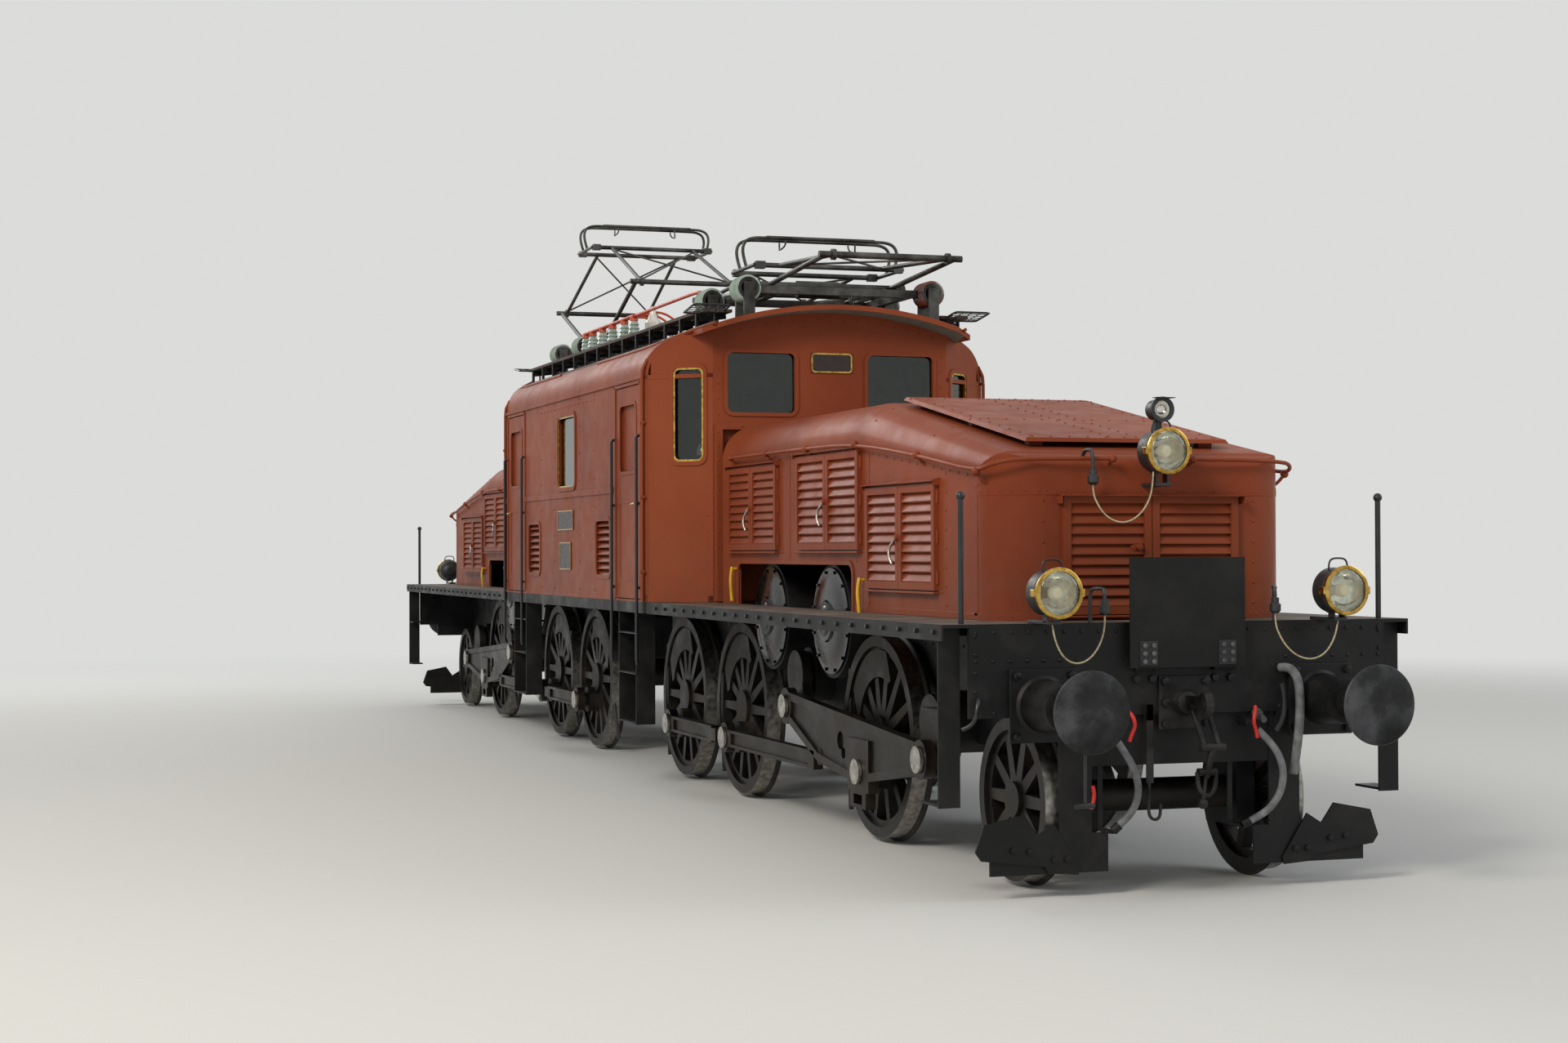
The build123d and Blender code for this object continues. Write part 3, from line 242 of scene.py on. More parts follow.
def surface(name, blotch, stops, rough, heights, fixed=()):
    """A material of noise patterns, each given as its size, detail, roughness and stretch.

    The blotch drives the colour. rough is a number, or a pattern with its range, where None is the
    blotch again. Each height is a pattern with its depth. fixed sets other sockets of the shader.
    """
    material, tree, shader, place = new_material(name)
    blotches = noise(tree, place, *blotch)
    tree.links.new(ramp(tree, blotches, stops), shader.inputs["Base Color"])
    if isinstance(rough, tuple):
        pattern, low, high = rough
        source = noise(tree, place, *pattern) if pattern else blotches
        tree.links.new(spread(tree, source, low, high), shader.inputs["Roughness"])
    else:
        shader.inputs["Roughness"].default_value = rough
    for socket, value in dict(fixed).items():
        shader.inputs[socket].default_value = value
    if heights:
        bump(tree, shader, [(noise(tree, place, *pattern), depth) for pattern, depth in heights])
    return material


# %% [markdown]
# The body is riveted sheet steel under brushed and varnished enamel. Varnish gives it a second, thin
# coat, and the sheet between its rivet rows is never flat, so the light on it wavers. Brake dust lies
# on the lower half.

# %% Body enamel
enamel_base, enamel_deep, enamel_faded, dust_colour = "#874127", "#75351F", "#924B30", "#6E4A39"
dust_starts, dust_full = 2.3, 1.5
# A sheet waves over about 0.6 m. Real brush marks lie about 1 mm apart, which is too fine to show from
# here, so they are drawn 6 mm wide.
panel_wave, panel_wave_depth = (0.6, 1), 0.003
brush_mark, brush_mark_depth = (6 * millimetre, 2, 0.55, (1, 1, 0.25)), 0.00015


def body_enamel():
    """Red-brown enamel, paler where it faded, with dust that settles low."""
    material, tree, shader, place = new_material("varnished_enamel_on_sheet_steel")
    stops = [(0.3, enamel_deep), (0.5, enamel_base), (0.72, enamel_faded)]
    tone = ramp(tree, noise(tree, place, 0.8, 5), stops)
    dust = spread(tree, noise(tree, place, 0.06, 6, 0.65), 0, 0.45)
    height = add_node(tree, "ShaderNodeSeparateXYZ", links={"Vector": place}).outputs["Z"]
    low_down = spread(tree, height, 0.0, 1.0, dust_starts, dust_full)
    share = add_node(tree, "ShaderNodeMath", {"operation": "MULTIPLY"}, {0: dust, 1: low_down}).outputs[0]
    settings = {"data_type": "RGBA", 7: linear(dust_colour)}
    dusty = add_node(tree, "ShaderNodeMix", settings, {0: share, 6: tone}).outputs[2]
    tree.links.new(dusty, shader.inputs["Base Color"])
    tree.links.new(spread(tree, noise(tree, place, 0.09, 5), 0.38, 0.55), shader.inputs["Roughness"])
    for socket, value in {"IOR": 1.3, "Specular IOR Level": 0.18, "Coat Weight": 0.06,
                          "Coat Roughness": 0.15}.items():
        shader.inputs[socket].default_value = value
    bump(tree, shader, [(noise(tree, place, *panel_wave), panel_wave_depth),
                        (noise(tree, place, *brush_mark), brush_mark_depth)])
    return material


body_paint = body_enamel()
print("body enamel has", len(body_paint.node_tree.nodes), "nodes")

# %% [markdown]
# Everything below the running board is black paint over cast and rolled steel, with years of oil and
# grey dust on it. The oil darkens and shines, and the dust is dull and pale, so one noise drives both.

# %% Black running gear, oily steel and cast iron


def oily_steel(name, clean, dusty, greasy, metallic=0.0, rough=(0.35, 0.75)):
    """Painted or bare steel under patches of dust and grease."""
    # Lumps of dried grease are 12 mm wide, and the dents of the plate about 0.12 m.
    return surface(name, (0.16, 6, 0.62), [(0.34, greasy), (0.5, clean), (0.68, dusty)], (None, *rough),
                   [((12 * millimetre, 4), 0.0006), ((0.12, 3), 0.0012)],
                   {"Metallic": metallic, "Specular IOR Level": 0.3})


black_frame = oily_steel("black_paint_on_rolled_steel", "#101011", "#242321", "#080808")
# Bitumen paint dries matt, so the fall plate takes no shine. The same dark matt finish is the painted shade
# behind the louvres.
matt_black = oily_steel("matt_bitumen_paint_and_painted_shade", "#151515", "#232322", "#0F0F0F", rough=(0.7, 0.9))
# Rods are bare forgings under a film of oil: dark, warm and half bright.
rod_steel = oily_steel("oiled_forged_rods", "#221D19", "#352E27", "#12100E", 0.55, (0.3, 0.55))
# The tubes of the pantographs were painted once, and are now steel that the weather has greyed.
tube_steel = oily_steel("weathered_tube_steel", "#4C4B48", "#6E6C67", "#2B2A28", 0.7, (0.35, 0.6))
# Hook, links and buffer heads rub on others, so they are bare, with grease left in the low places.
draw_gear_steel = oily_steel("oiled_forged_steel", "#2B2A2A", "#4A4745", "#151414", 0.6, (0.35, 0.7))
buffer_grease = oily_steel("buffer_face_under_grease", "#2E2F30", "#55565A", "#161617", 0.5, (0.32, 0.7))
# Grey oil paint on a casting is even and rather dull.
grey_casting = oily_steel("grey_painted_casting", "#4C4F50", "#6B6E6F", "#2B2C2D", rough=(0.5, 0.75))
# Carbon dust from the contact strips lies on the roof's paint and takes its shine.
sooty_roof = oily_steel("roof_paint_under_soot", "#4A2C23", "#5C4237", "#2A1B17", rough=(0.6, 0.85))
# Cast iron of the wheel centres is nearly black between the spokes, where the grease stays.
wheel_iron = surface("oily_cast_iron", (0.12, 6, 0.62),
                     [(0.34, "#0F0E0D"), (0.52, "#1F1B18"), (0.7, "#3A322B")],
                     (None, 0.38, 0.7), [((9 * millimetre, 4), 0.0006)], {"Metallic": 0.35})

# %% [markdown]
# The remaining finishes follow the same plan: what the thing is, how its surface was made, and what that
# gives the eye. Rubber is dull, brass is warm and bright, wood shows grain, and glazed porcelain shines.

# %% Rubber, cotton, tread sheet and wood
# Grey rubber over canvas is dull, and the canvas's winding shows through faintly. It is about 1 mm wide
# and drawn 3 mm wide, as it would not show otherwise.
hose_rubber = surface("rubber_over_canvas", (0.03, 5),
                      [(0.3, "#4E5052"), (0.55, "#6C6E70"), (0.75, "#85878A")], 0.62,
                      [((3 * millimetre, 3, 0.55, (1, 1, 2)), 0.0006)])
# The braided cotton sleeve of a cable has gone the colour of straw. Its braid is drawn four times as wide.
cable_cotton = surface("braided_cotton_sleeve", (0.01, 4), [(0.3, "#8F8468"), (0.6, "#B9AE8E")],
                       0.7, [((2 * millimetre, 2), 0.0004)])
# Chequered tread sheet is trodden to a dusty grey-brown. Its studs are about 15 mm apart.
board_tread = surface("trodden_tread_sheet", (0.2, 7, 0.65),
                      [(0.3, "#3A322C"), (0.5, "#564A40"), (0.72, "#766A5E")],
                      ((0.05, 4), 0.5, 0.85), [((15 * millimetre, 2), 0.0012)])
# Painted pine boards show their grain, which runs along the vehicle.
pine_grain = (0.012, 4, 0.55, (0.05, 1, 1))
old_wood = surface("painted_pine_boards", pine_grain,
                   [(0.3, "#2A201B"), (0.6, "#4A3830"), (0.75, "#6A5549")], 0.75, [(pine_grain, 0.001)])

# %% [markdown]
# Four short helpers cover the small pieces. Stove enamel and brush paint are smooth and take a clean
# highlight. Brass and handled steel are bare, so they mirror the studio, with dull patches where nobody
# rubs them. Porcelain is a pale body under a clear glaze, which is a second, sharp highlight. Drawn glass
# is never quite flat, so what is seen through it wavers.

# %% Paints, bare metals, porcelain and glass


def gloss_paint(name, dark, light, rough=0.35, fixed=()):
    """Brush paint on small steel pieces, a little faded and uneven."""
    return surface(name, (0.05, 5), [(0.3, dark), (0.7, light)], ((0.02, 4), rough, rough + 0.2),
                   [((4 * millimetre, 3), 0.0002)], fixed)


def bright_metal(name, dark, light, rough):
    """Bare metal handled or polished bright, with dull patches."""
    return surface(name, (0.02, 5), [(0.3, dark), (0.65, light)], ((0.015, 4), rough, rough + 0.25),
                   [((3 * millimetre, 3), 0.0002)], {"Metallic": 1.0})


def porcelain(name, dark, light):
    """Glazed insulator porcelain: glassy, with soot in its grooves."""
    return gloss_paint(name, dark, light, 0.12, {"Coat Weight": 0.6})


def drawn_glass(name, tint):
    """Clear glass with a faint tint, a little wavy."""
    material, tree, shader, place = new_material(name)
    for socket, value in {"Base Color": linear(tint), "Transmission Weight": 1.0, "IOR": 1.5,
                          "Roughness": 0.0}.items():
        shader.inputs[socket].default_value = value
    bump(tree, shader, [(noise(tree, place, 0.35, 1), 0.0006)])
    return material


# Brass is kept bright on rims and plates, and goes brown where it is only handled.
brass = bright_metal("polished_brass", "#8A6A2C", "#D8B25C", 0.16)
dull_brass = bright_metal("handled_brass", "#6E5526", "#B08E48", 0.3)
# The silvered bowl of a lamp mirrors its bulb.
silvered = bright_metal("silvered_reflector", "#C9C7C0", "#F1EFE8", 0.06)
# The rail and the drivers' hands wear steel bright.
worn_steel = bright_metal("steel_worn_by_rail", "#6D6A66", "#A5A29C", 0.28)
pale_steel = bright_metal("handled_bare_steel", "#8C8984", "#C9C6BF", 0.25)
# Enamel that was baked on is the smoothest paint, and brush paint in the cab the roughest.
lamp_paint = gloss_paint("stove_enamel_on_lamp_cases", "#1A1B1D", "#2C2E31")
motor_gloss = gloss_paint("gloss_black_stove_enamel", "#0B0C0E", "#16181B", 0.1)
black_paint = gloss_paint("black_gloss_on_rails", "#141416", "#232326", 0.28)
cab_paint = gloss_paint("grey_green_cab_paint", "#6F7A70", "#8A958A", 0.45)
bar_paint = gloss_paint("orange_phase_paint", "#B23A16", "#D24F22")
yellow_enamel = gloss_paint("yellow_signal_paint", "#C99A10", "#EBC02A")
red_enamel = gloss_paint("red_signal_paint", "#A81912", "#D42A1D")
plate_enamel = gloss_paint("plate_ground_enamel", "#1B1310", "#2A1C17", 0.3)
green_porcelain = porcelain("grey_green_porcelain", "#7C8F84", "#A9B8AC")
white_porcelain = porcelain("white_porcelain", "#B9B7AE", "#E2E0D8")
red_porcelain = porcelain("red_brown_porcelain", "#4A2018", "#6E3426")
window_glass = drawn_glass("drawn_window_glass", "#A9B6AE")
lamp_glass = drawn_glass("pressed_lamp_glass", "#EFF2EC")
print(len(bpy.data.materials), "materials are ready")

# %% [markdown]
# Every CAD node names a slot, and each slot has one finish. New pieces name a slot as well, but may wear a
# finish of their own.

# %% One finish for each slot
finishes = {
    "body_paint": body_paint, "black_frame": black_frame, "board_plate": board_tread,
    "flap_paint": matt_black, "lamp_paint": lamp_paint, "hose_rubber": hose_rubber,
    "wheel_steel": wheel_iron, "rod_steel": rod_steel, "cab_inside": cab_paint, "glass": window_glass,
    "walkway_wood": old_wood, "bus_bar_paint": bar_paint, "pantograph_steel": tube_steel,
}


def coat(piece, finish):
    """Gives a whole mesh one finish."""
    piece.data.materials.clear()
    piece.data.materials.append(finish)
    piece.data.polygons.foreach_set("material_index", [0] * len(piece.data.polygons))


slot_of_node = {row["node"]: row["material_slot"] for row in frame["record"]["subparts"]}
for name, node in nodes.items():
    coat(node, finishes[slot_of_node[name]])
for cord in cords:
    coat(cord, hose_rubber if "hose" in cord.name else cable_cotton)
print(len(finishes), "finishes on", len(nodes), "nodes")

# %% [markdown]
# One CAD node often holds several things: a wheel is a casting and a tyre with its worn tread. The faces
# are told apart by where they are, so a rule picks them by their middle and normal, and they get a finish
# of their own.

# %% Finishes for chosen faces


def paint(base, finish, chosen, at_ends=True):
    """Gives a finish to the faces of a CAD node that a rule picks, at both ends if it has them."""
    painted = 0
    for end, side in (("front_", 1), ("rear_", -1)) if at_ends else (("", 1),):
        mesh = nodes[end + base].data
        if finish.name not in mesh.materials:
            mesh.materials.append(finish)
        index = mesh.materials.find(finish.name)
        turn = Vector((side, side, 1))
        for face in mesh.polygons:
            if chosen(face.center * turn - upwards * rail_head, face.normal * turn):
                face.material_index = index
                painted += 1
    print(base, "has", painted, "faces in", finish.name)


# %% [markdown]
# The rail wears the treads bright, oil keeps the ends of the crank pins bright, and the edge of the
# running board and its rail are black, while its top is trodden.

# %% Wheels, pins and running board
wheel_centres = {"drive_axle_1": (6.3, 0.675), "drive_axle_2": (3.25, 0.675), "drive_axle_3": (1.6, 0.675),
                 "carrying_axle": (8.5, 0.475)}


def worn_by_rail(axle_x, tread):
    """The rule for a tread: on the rim, and turned away from the axle."""
    middle = Vector((axle_x, 0, tread))

    def rule(place, normal):
        arm = (place - middle) * Vector((1, 0, 1))
        return tread - 0.006 < arm.length < tread + 0.012 and normal.dot(arm.normalized()) > 0.6
    return rule


for base, (axle_x, tread) in wheel_centres.items():
    paint(base, worn_steel, worn_by_rail(axle_x, tread))
for base in ("drive_axle_1", "drive_axle_2", "drive_axle_3", "jackshaft", "blind_shaft"):
    paint(base, pale_steel, lambda place, normal: abs(place.y) > 0.999)
paint("running_board", black_frame, lambda place, normal: normal.z < 0.6 or place.z < 1.49)
paint("running_board", black_paint, lambda place, normal: place.z > 1.515)

# %% [markdown]
# The cab's walls are one node, red-brown outside and grey-green inside. How deep a face lies behind the
# outer faces tells which side it is on. The top of the roof is under soot.

# %% Cab and roof
side_corner, end_corner = Vector((2.7, 1.475)), Vector((3.09, 1.0))
panel_run = end_corner - side_corner
panel_normal = Vector((-panel_run.y, panel_run.x)).normalized()


def cab_depth(place):
    """How far inside the cab's outer faces a point is: sides, ends and the slanted corner panels."""
    quarter = Vector((abs(place.x), abs(place.y)))
    return min(side_corner.y - quarter.y, end_corner.x - quarter.x,
               (side_corner - quarter).dot(panel_normal))


def is_rib(side):
    """The rule for the base frame's ribbed drums on one side of the roof."""
    def rule(place, normal):
        near_beam = min(abs(abs(place.x) - 2.25), abs(abs(place.x) - 3.25))
        return near_beam < 0.0995 and place.y * side > 0.69 and abs(place.z - 3.99) < 0.095
    return rule


paint("cab_walls", cab_paint, lambda place, normal: cab_depth(place) > 0.0585, at_ends=False)
paint("cab_roof", sooty_roof, lambda place, normal: normal.z > 0.8, at_ends=False)
paint("cab_roof", cab_paint, lambda place, normal: normal.z < -0.5 and cab_depth(place) > 0.05,
      at_ends=False)
paint("pantograph_bases", green_porcelain, is_rib(-1), at_ends=False)
paint("pantograph_bases", red_porcelain, is_rib(1), at_ends=False)

# %% [markdown]
# Small pieces are modelled with the operators a person would use, on a deselected scene. The helpers
# carry the habit: start clean, settle a finished piece's place into its mesh, and copy it to the rear.

# %% Helpers for new pieces


@contextmanager
def editing():
    """Edit mode on the active piece, with all of it selected."""
    bpy.ops.object.mode_set(mode="EDIT")
    bpy.ops.mesh.select_all(action="SELECT")
    yield
    bpy.ops.object.mode_set(mode="OBJECT")


def turn_outwards(seam, smooth=0):
    """Merges points closer than a seam, turns the faces outwards, and smooths edges flatter than an angle."""
    with editing():
        bpy.ops.mesh.remove_doubles(threshold=seam)
        bpy.ops.mesh.normals_make_consistent(inside=False)
    if smooth:
        bpy.ops.object.shade_smooth_by_angle(angle=radians(smooth))


def settle(piece):
    """Puts a piece's place, turn and scale into its mesh."""
    select_only([piece])
    bpy.ops.object.transform_apply(location=True, rotation=True, scale=True)
    return piece


def join(parts):
    """Makes one mesh of several parts."""
    for part in parts:
        settle(part)
    select_only(parts)
    bpy.ops.object.join()
    return parts[0]


def dress(parts, name, slot, finish=None, body="cab"):
    """Joins parts to one named piece, gives it its finish or its slot's, and lets it ride on a body."""
    piece = join(parts)
    piece.name = name
    coat(piece, finish or finishes[slot])
    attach(piece, body)
    print(name, "has", len(piece.data.polygons), "faces")
    return piece


def dress_both_ends(parts, name, slot, finish=None, body="bogie", instead=None):
    """Fits a piece at the front and a twin, turned half round, at the rear. Both may replace a frame node."""
    piece = join(parts)
    twin = piece.copy()
    twin.data = piece.data.copy()
    bpy.context.scene.collection.objects.link(twin)
    twin.data.transform(Matrix.Rotation(pi, 4, "Z"))
    for end, made in (("front", piece), ("rear", twin)):
        dress([made], f"{end}_{name}", slot, finish, f"{end}_{body}")
        if instead:
            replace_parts(made, f"{end}_{instead}")


def mirrored(sign, side, points):
    """Points of the front left quarter, moved to the quarter of a sign and a side."""
    return [(sign * x, side * y, z) for x, y, z in points]


def bevelled_block(corner, opposite, bevel):
    """A cuboid between two opposite corners above the rail head, with rounded edges."""
    low, high = (Vector([*map(pick, corner, opposite)]) for pick in (min, max))
    clear_selection()
    bpy.ops.mesh.primitive_cube_add(size=1, location=(low + high) / 2 + upwards * rail_head)
    piece = bpy.context.object
    piece.scale = high - low
    settle(piece)
    with editing():
        bpy.ops.mesh.bevel(offset=bevel, segments=2, affect="EDGES")
    return piece


def tilted_block(centre, along, up, size, bevel=0.002):
    """A cuboid round a centre above the rail head. Its sizes are along, across and up."""
    half = Vector(size) / 2
    piece = bevelled_block(-half, half, bevel)
    along, up = Vector(along).normalized(), Vector(up).normalized()
    turn = Matrix((along, up.cross(along), up)).transposed().to_4x4()
    lift = Matrix.Translation((0, 0, rail_head))
    piece.data.transform(lift @ Matrix.Translation(Vector(centre)) @ turn @ lift.inverted())
    return piece


def pipe(points, thick, order=3, sides=3):
    """A bent bar or pipe: a NURBS line through the air, made a tube with closed ends."""
    line = nurbs_line("pipe", [(x, y, z + rail_head) for x, y, z in points], order, 6)
    line.data.use_fill_caps = True
    piece = thicken(line, thick, sides)
    turn_outwards(0.1 * millimetre, 40)
    return piece


def loose_mesh(points, edges=(), faces=()):
    """A mesh of points, edges and faces of its own, in the place of a fresh plane."""
    clear_selection()
    bpy.ops.mesh.primitive_plane_add(size=1, location=(0, 0, 0))
    piece = bpy.context.object
    piece.data.clear_geometry()
    piece.data.from_pydata(points, edges, faces)
    return piece


def turned_piece(profile, place, along=upwards, steps=24):
    """Spins a profile of (along, radius) points round an axis through a place above the rail head."""
    piece = loose_mesh([(radius, 0, height) for height, radius in profile],
                       [(k, k + 1) for k in range(len(profile) - 1)])
    with editing():
        bpy.ops.mesh.spin(steps=steps, angle=2 * pi, center=(0, 0, 0), axis=(0, 0, 1))
    turn_outwards(0.05 * millimetre, 35)
    piece.rotation_mode = "QUATERNION"
    piece.rotation_quaternion = Vector(along).to_track_quat("Z", "Y")
    piece.location = Vector(place) + upwards * rail_head
    return settle(piece)


def drum(low, high, radius):
    """The profile of a plain drum."""
    return [(low, 0), (low, radius), (high, radius), (high, 0)]


def arc(deep, wide, angles, foot=0.0):
    """The profile of a part of an ellipse, at angles from its equator."""
    return [(foot + deep * sin(radians(a)), wide * cos(radians(a))) for a in angles]


def ball(radius, step):
    """The profile of a ball, with a point at every step of so many degrees."""
    return [(-radius, 0)] + arc(radius, radius, range(step - 90, 90, step)) + [(radius, 0)]


# %% [markdown]
# A riveted locomotive shows hundreds of heads. One snap head and one hexagon bolt are modelled, and each
# row of them is found by shooting rays at the frame, so a head sits on whatever surface is there.

# %% Rivet and bolt heads


def rivet_head(radius):
    """A snap head: the upper half of a ball, flattened and closed below."""
    clear_selection()
    bpy.ops.mesh.primitive_uv_sphere_add(segments=8, ring_count=6, radius=radius, location=(0, 0, 0))
    with editing():
        bpy.ops.mesh.bisect(plane_co=(0, 0, -0.0005), plane_no=(0, 0, 1), clear_inner=True, use_fill=True)
        bpy.ops.mesh.select_all(action="SELECT")
        bpy.ops.transform.resize(value=(1, 1, 0.62), center_override=(0, 0, 0))
    bpy.ops.object.shade_smooth_by_angle(angle=radians(60))
    return bpy.context.object


def bolt_head(radius):
    """A hexagon head with its upper edge taken off."""
    clear_selection()
    bpy.ops.mesh.primitive_cylinder_add(vertices=6, radius=radius, depth=radius * 1.2,
                                        location=(0, 0, radius * 0.5))
    with editing():
        bpy.ops.mesh.select_all(action="DESELECT")
    piece = bpy.context.object
    for face in piece.data.polygons:
        face.select = face.normal.z > 0.9
    bpy.ops.object.mode_set(mode="EDIT")
    bpy.ops.mesh.inset(thickness=radius * 0.16)
    bpy.ops.transform.translate(value=(0, 0, radius * 0.12))
    bpy.ops.object.mode_set(mode="OBJECT")
    return settle(piece)


rivet_small, rivet_large = rivet_head(0.009), rivet_head(0.013)
bolt_small, bolt_large = bolt_head(0.014), bolt_head(0.024)

# %% [markdown]
# A ray starts outside the model and flies towards it. Where it meets a face, a head is set with its foot
# on the surface and its axis along the normal. A row is given by its two ends and its pitch. A ray that
# misses, grazes or flies too far gives no head, so a row leaves the openings free by itself.

# %% Rows of heads


def row(node, first, last, pitch, towards, reach=None):
    """Spots on a CAD node, met by rays from a line along a direction: (place, outward normal) of each."""
    first, last, towards = Vector(first), Vector(last), Vector(towards).normalized()
    count = max(1, round((last - first).length / pitch)) if pitch else 1
    spots = []
    for k in range(count + 1):
        start = first.lerp(last, k / count) + upwards * rail_head
        found, place, normal, _ = nodes[node].ray_cast(start, towards)
        if found and (reach is None or (place - start).length < reach):
            normal = normal if normal.dot(towards) < 0 else -normal
            if normal.dot(towards) < -0.35:
                spots.append((place, normal))
    return spots


def side_rows(node, out, lines, reach=None):
    """Rows on both sides of a node: each line runs from (x, z) to (x, z) with a pitch."""
    return [spot for side in (-1, 1) for x, z, x_end, z_end, pitch in lines
            for spot in row(node, (x, side * out, z), (x_end, side * out, z_end), pitch, (0, -side, 0),
                            reach)]


def front_rows(node, x, lines):
    """Rows on the front of a node, mirrored: each line runs from (y, z) to (y, z) with a pitch."""
    return [spot for side in (-1, 1) for y, z, y_end, z_end, pitch in lines
            for spot in row(node, (x, side * y, z), (x, side * y_end, z_end), pitch, -ahead)]


def front_spots(node, places):
    """Single spots on the front of a node, mirrored, at (y, z) places."""
    return [spot for side in (-1, 1) for y, z in places
            for spot in row(node, (9.5, side * y, z), (9.5, side * y, z), 0, -ahead)[:1]]


def scatter(model, spots):
    """One mesh with a copy of the model on every spot, its foot on the surface and its axis on the normal."""
    base = [v.co.copy() for v in model.data.vertices]
    faces = [tuple(p.vertices) for p in model.data.polygons]
    points, polygons = [], []
    for place, normal in spots:
        turn = normal.to_track_quat("Z", "Y")
        first = len(points)
        points += [place + turn @ co for co in base]
        polygons += [tuple(first + i for i in face) for face in faces]
    piece = model.copy()
    piece.data = bpy.data.meshes.new("heads")
    piece.data.from_pydata(points, [], polygons)
    bpy.context.scene.collection.objects.link(piece)
    select_only([piece])
    bpy.ops.object.shade_smooth_by_angle(angle=radians(50))
    return [piece]


# %% [markdown]
# The hood's sheets overlap, and are riveted along their edges, beside the louvre doors, round the nose and
# over the top. On its rounded corners the rays aim at the axis of the corner.

# %% Rivets of the hood
hood = "front_hood"
hood_lines = [(x, low, x, high, 0.11) for x, low, high in (
    (3.29, 1.92, 2.56), (4.72, 1.9, 2.56), (5.04, 1.9, 2.56), (6.495, 1.58, 2.54), (6.545, 1.58, 2.54),
    (7.87, 1.58, 2.38), (8.33, 1.56, 2.28))]
hood_lines += [(3.56, 1.842, 6.3, 1.842, 0.11), (6.62, 1.53, 8.3, 1.53, 0.11),
               (3.3, 2.585, 6.25, 2.585, 0.13), (6.6, 2.545, 8.2, 2.36, 0.13)]
hood_spots = side_rows(hood, 1.25, hood_lines) + front_rows(hood, 9.2, [(0.68, 1.6, 0.68, 2.2, 0.12)])
for height in (1.53, 2.255):
    hood_spots += row(hood, (9.4, -0.66, height), (9.4, 0.66, height), 0.12, -ahead)
    for side in (-1, 1):
        corner = Vector((8.35, side * 0.66, height))
        for k in range(6):
            angle = radians(8 + 15 * k)
            beyond = corner + Vector((0.6 * cos(angle), side * 0.6 * sin(angle), 0))
            hood_spots += row(hood, beyond, beyond, 0, corner - beyond)[:1]
top_lines = [((x, side * 0.05), (x, side * 0.9), 0.12) for x in (6.52, 7.53) for side in (-1, 1)]
top_lines += [((6.5, y), (8.3, y), 0.15) for y in (-0.6, 0.6)]
top_lines += [((6.5, y), (8.3, y), 0.12) for y in (-0.09, 0.09)]
top_lines += [((x, -0.6), (x, 0.6), 0.12) for x in (6.47, 8.33)]
for first, last, pitch in top_lines:
    hood_spots += row(hood, (*first, 3.3), (*last, 3.3), pitch, -upwards)
dress_both_ends(scatter(rivet_small, hood_spots), "hood_rivets", "body_paint")

# %% [markdown]
# The cab's rows follow its inner frame: upright beside the doors and louvres, level along the sill and the
# cornice, and in a shallow arch above the end windows. Rays near an opening have a short reach, so that
# none flies through it to the far wall.

# %% Rivets of the cab
walls = "cab_walls"
cab_spots = []
for sign in (-1, 1):
    for x, low, pitch in ((0.5, 1.58, 0.24), (1.06, 1.58, 0.24), (2.44, 1.6, 0.16), (2.64, 1.6, 0.16)):
        cab_spots += side_rows(walls, 1.75, [(sign * x, low, sign * x, 3.28, pitch)], 0.285)
cab_spots += side_rows(walls, 1.75, [
    (-0.45, 3.235, 0.45, 3.235, 0.13), (0.52, 3.235, 1.05, 3.235, 0.13), (-1.05, 3.235, -0.52, 3.235, 0.13),
    (-1.69, 1.548, 1.69, 1.548, 0.14), (2.43, 1.548, 2.66, 1.548, 0.12), (-2.43, 1.548, -2.66, 1.548, 0.12)])
for sign, side in quarters:
    for share in (0.06, 0.93):
        x, y = side_corner.lerp(end_corner, share)
        start = Vector((sign * (x + 0.3), side * (y + 0.25), 1.6))
        back = (-sign * panel_normal.x, -side * panel_normal.y, 0)
        cab_spots += row(walls, start, start + 1.66 * upwards, 0.115, back)
    for y, low, high, pitch, reach in ((0.978, 1.6, 2.86, 0.115, None), (0.955, 3.0, 3.5, 0.12, 0.53)):
        cab_spots += row(walls, (sign * 3.6, side * y, low), (sign * 3.6, side * y, high), pitch,
                         (-sign, 0, 0), reach)
for sign in (-1, 1):
    cab_spots += row(walls, (sign * 3.6, -0.9, 2.905), (sign * 3.6, 0.9, 2.905), 0.12, (-sign, 0, 0))
    for k in range(17):
        y = -0.88 + 0.11 * k
        start = (sign * 3.6, y, 3.775 - 0.118 * (y / 0.88) ** 2)
        cab_spots += row(walls, start, start, 0, (-sign, 0, 0), 0.55)[:1]
dress(scatter(rivet_small, cab_spots), "cab_rivets", "body_paint")

# %% [markdown]
# The bogie has larger heads: rivets along the headstock and the plate frame, and bolts that hold the
# board, the buffers, the coupling and the hinges of the fall plate. Then the four models have served.

# %% Rivets and bolts of the bogie
buffer_apart, buffer_height, headstock = 0.875, 1.05, 9.05
flap_hinge = 0.248
frame_spots = front_rows("front_bogie_frame", 9.5, [
    (0.1, 1.458, 1.27, 1.458, 0.105), (0.62, 1.012, 1.27, 1.012, 0.105), (0.66, 1.3, 1.27, 1.3, 0.105),
    (1.275, 1.03, 1.275, 1.44, 0.1)])
frame_spots += side_rows("front_bogie_frame", 1.3, [
    (0.9, 1.31, 2.9, 1.31, 0.13), (3.6, 1.31, 5.9, 1.31, 0.13), (6.7, 1.31, 8.9, 1.31, 0.13)])
dress_both_ends(scatter(rivet_large, frame_spots), "frame_rivets", "black_frame")
board_spots = side_rows("front_running_board", 1.75, [(3.1, 1.463, 8.95, 1.463, 0.27)])
dress_both_ends(scatter(bolt_small, board_spots), "board_bolts", "black_frame", black_paint)

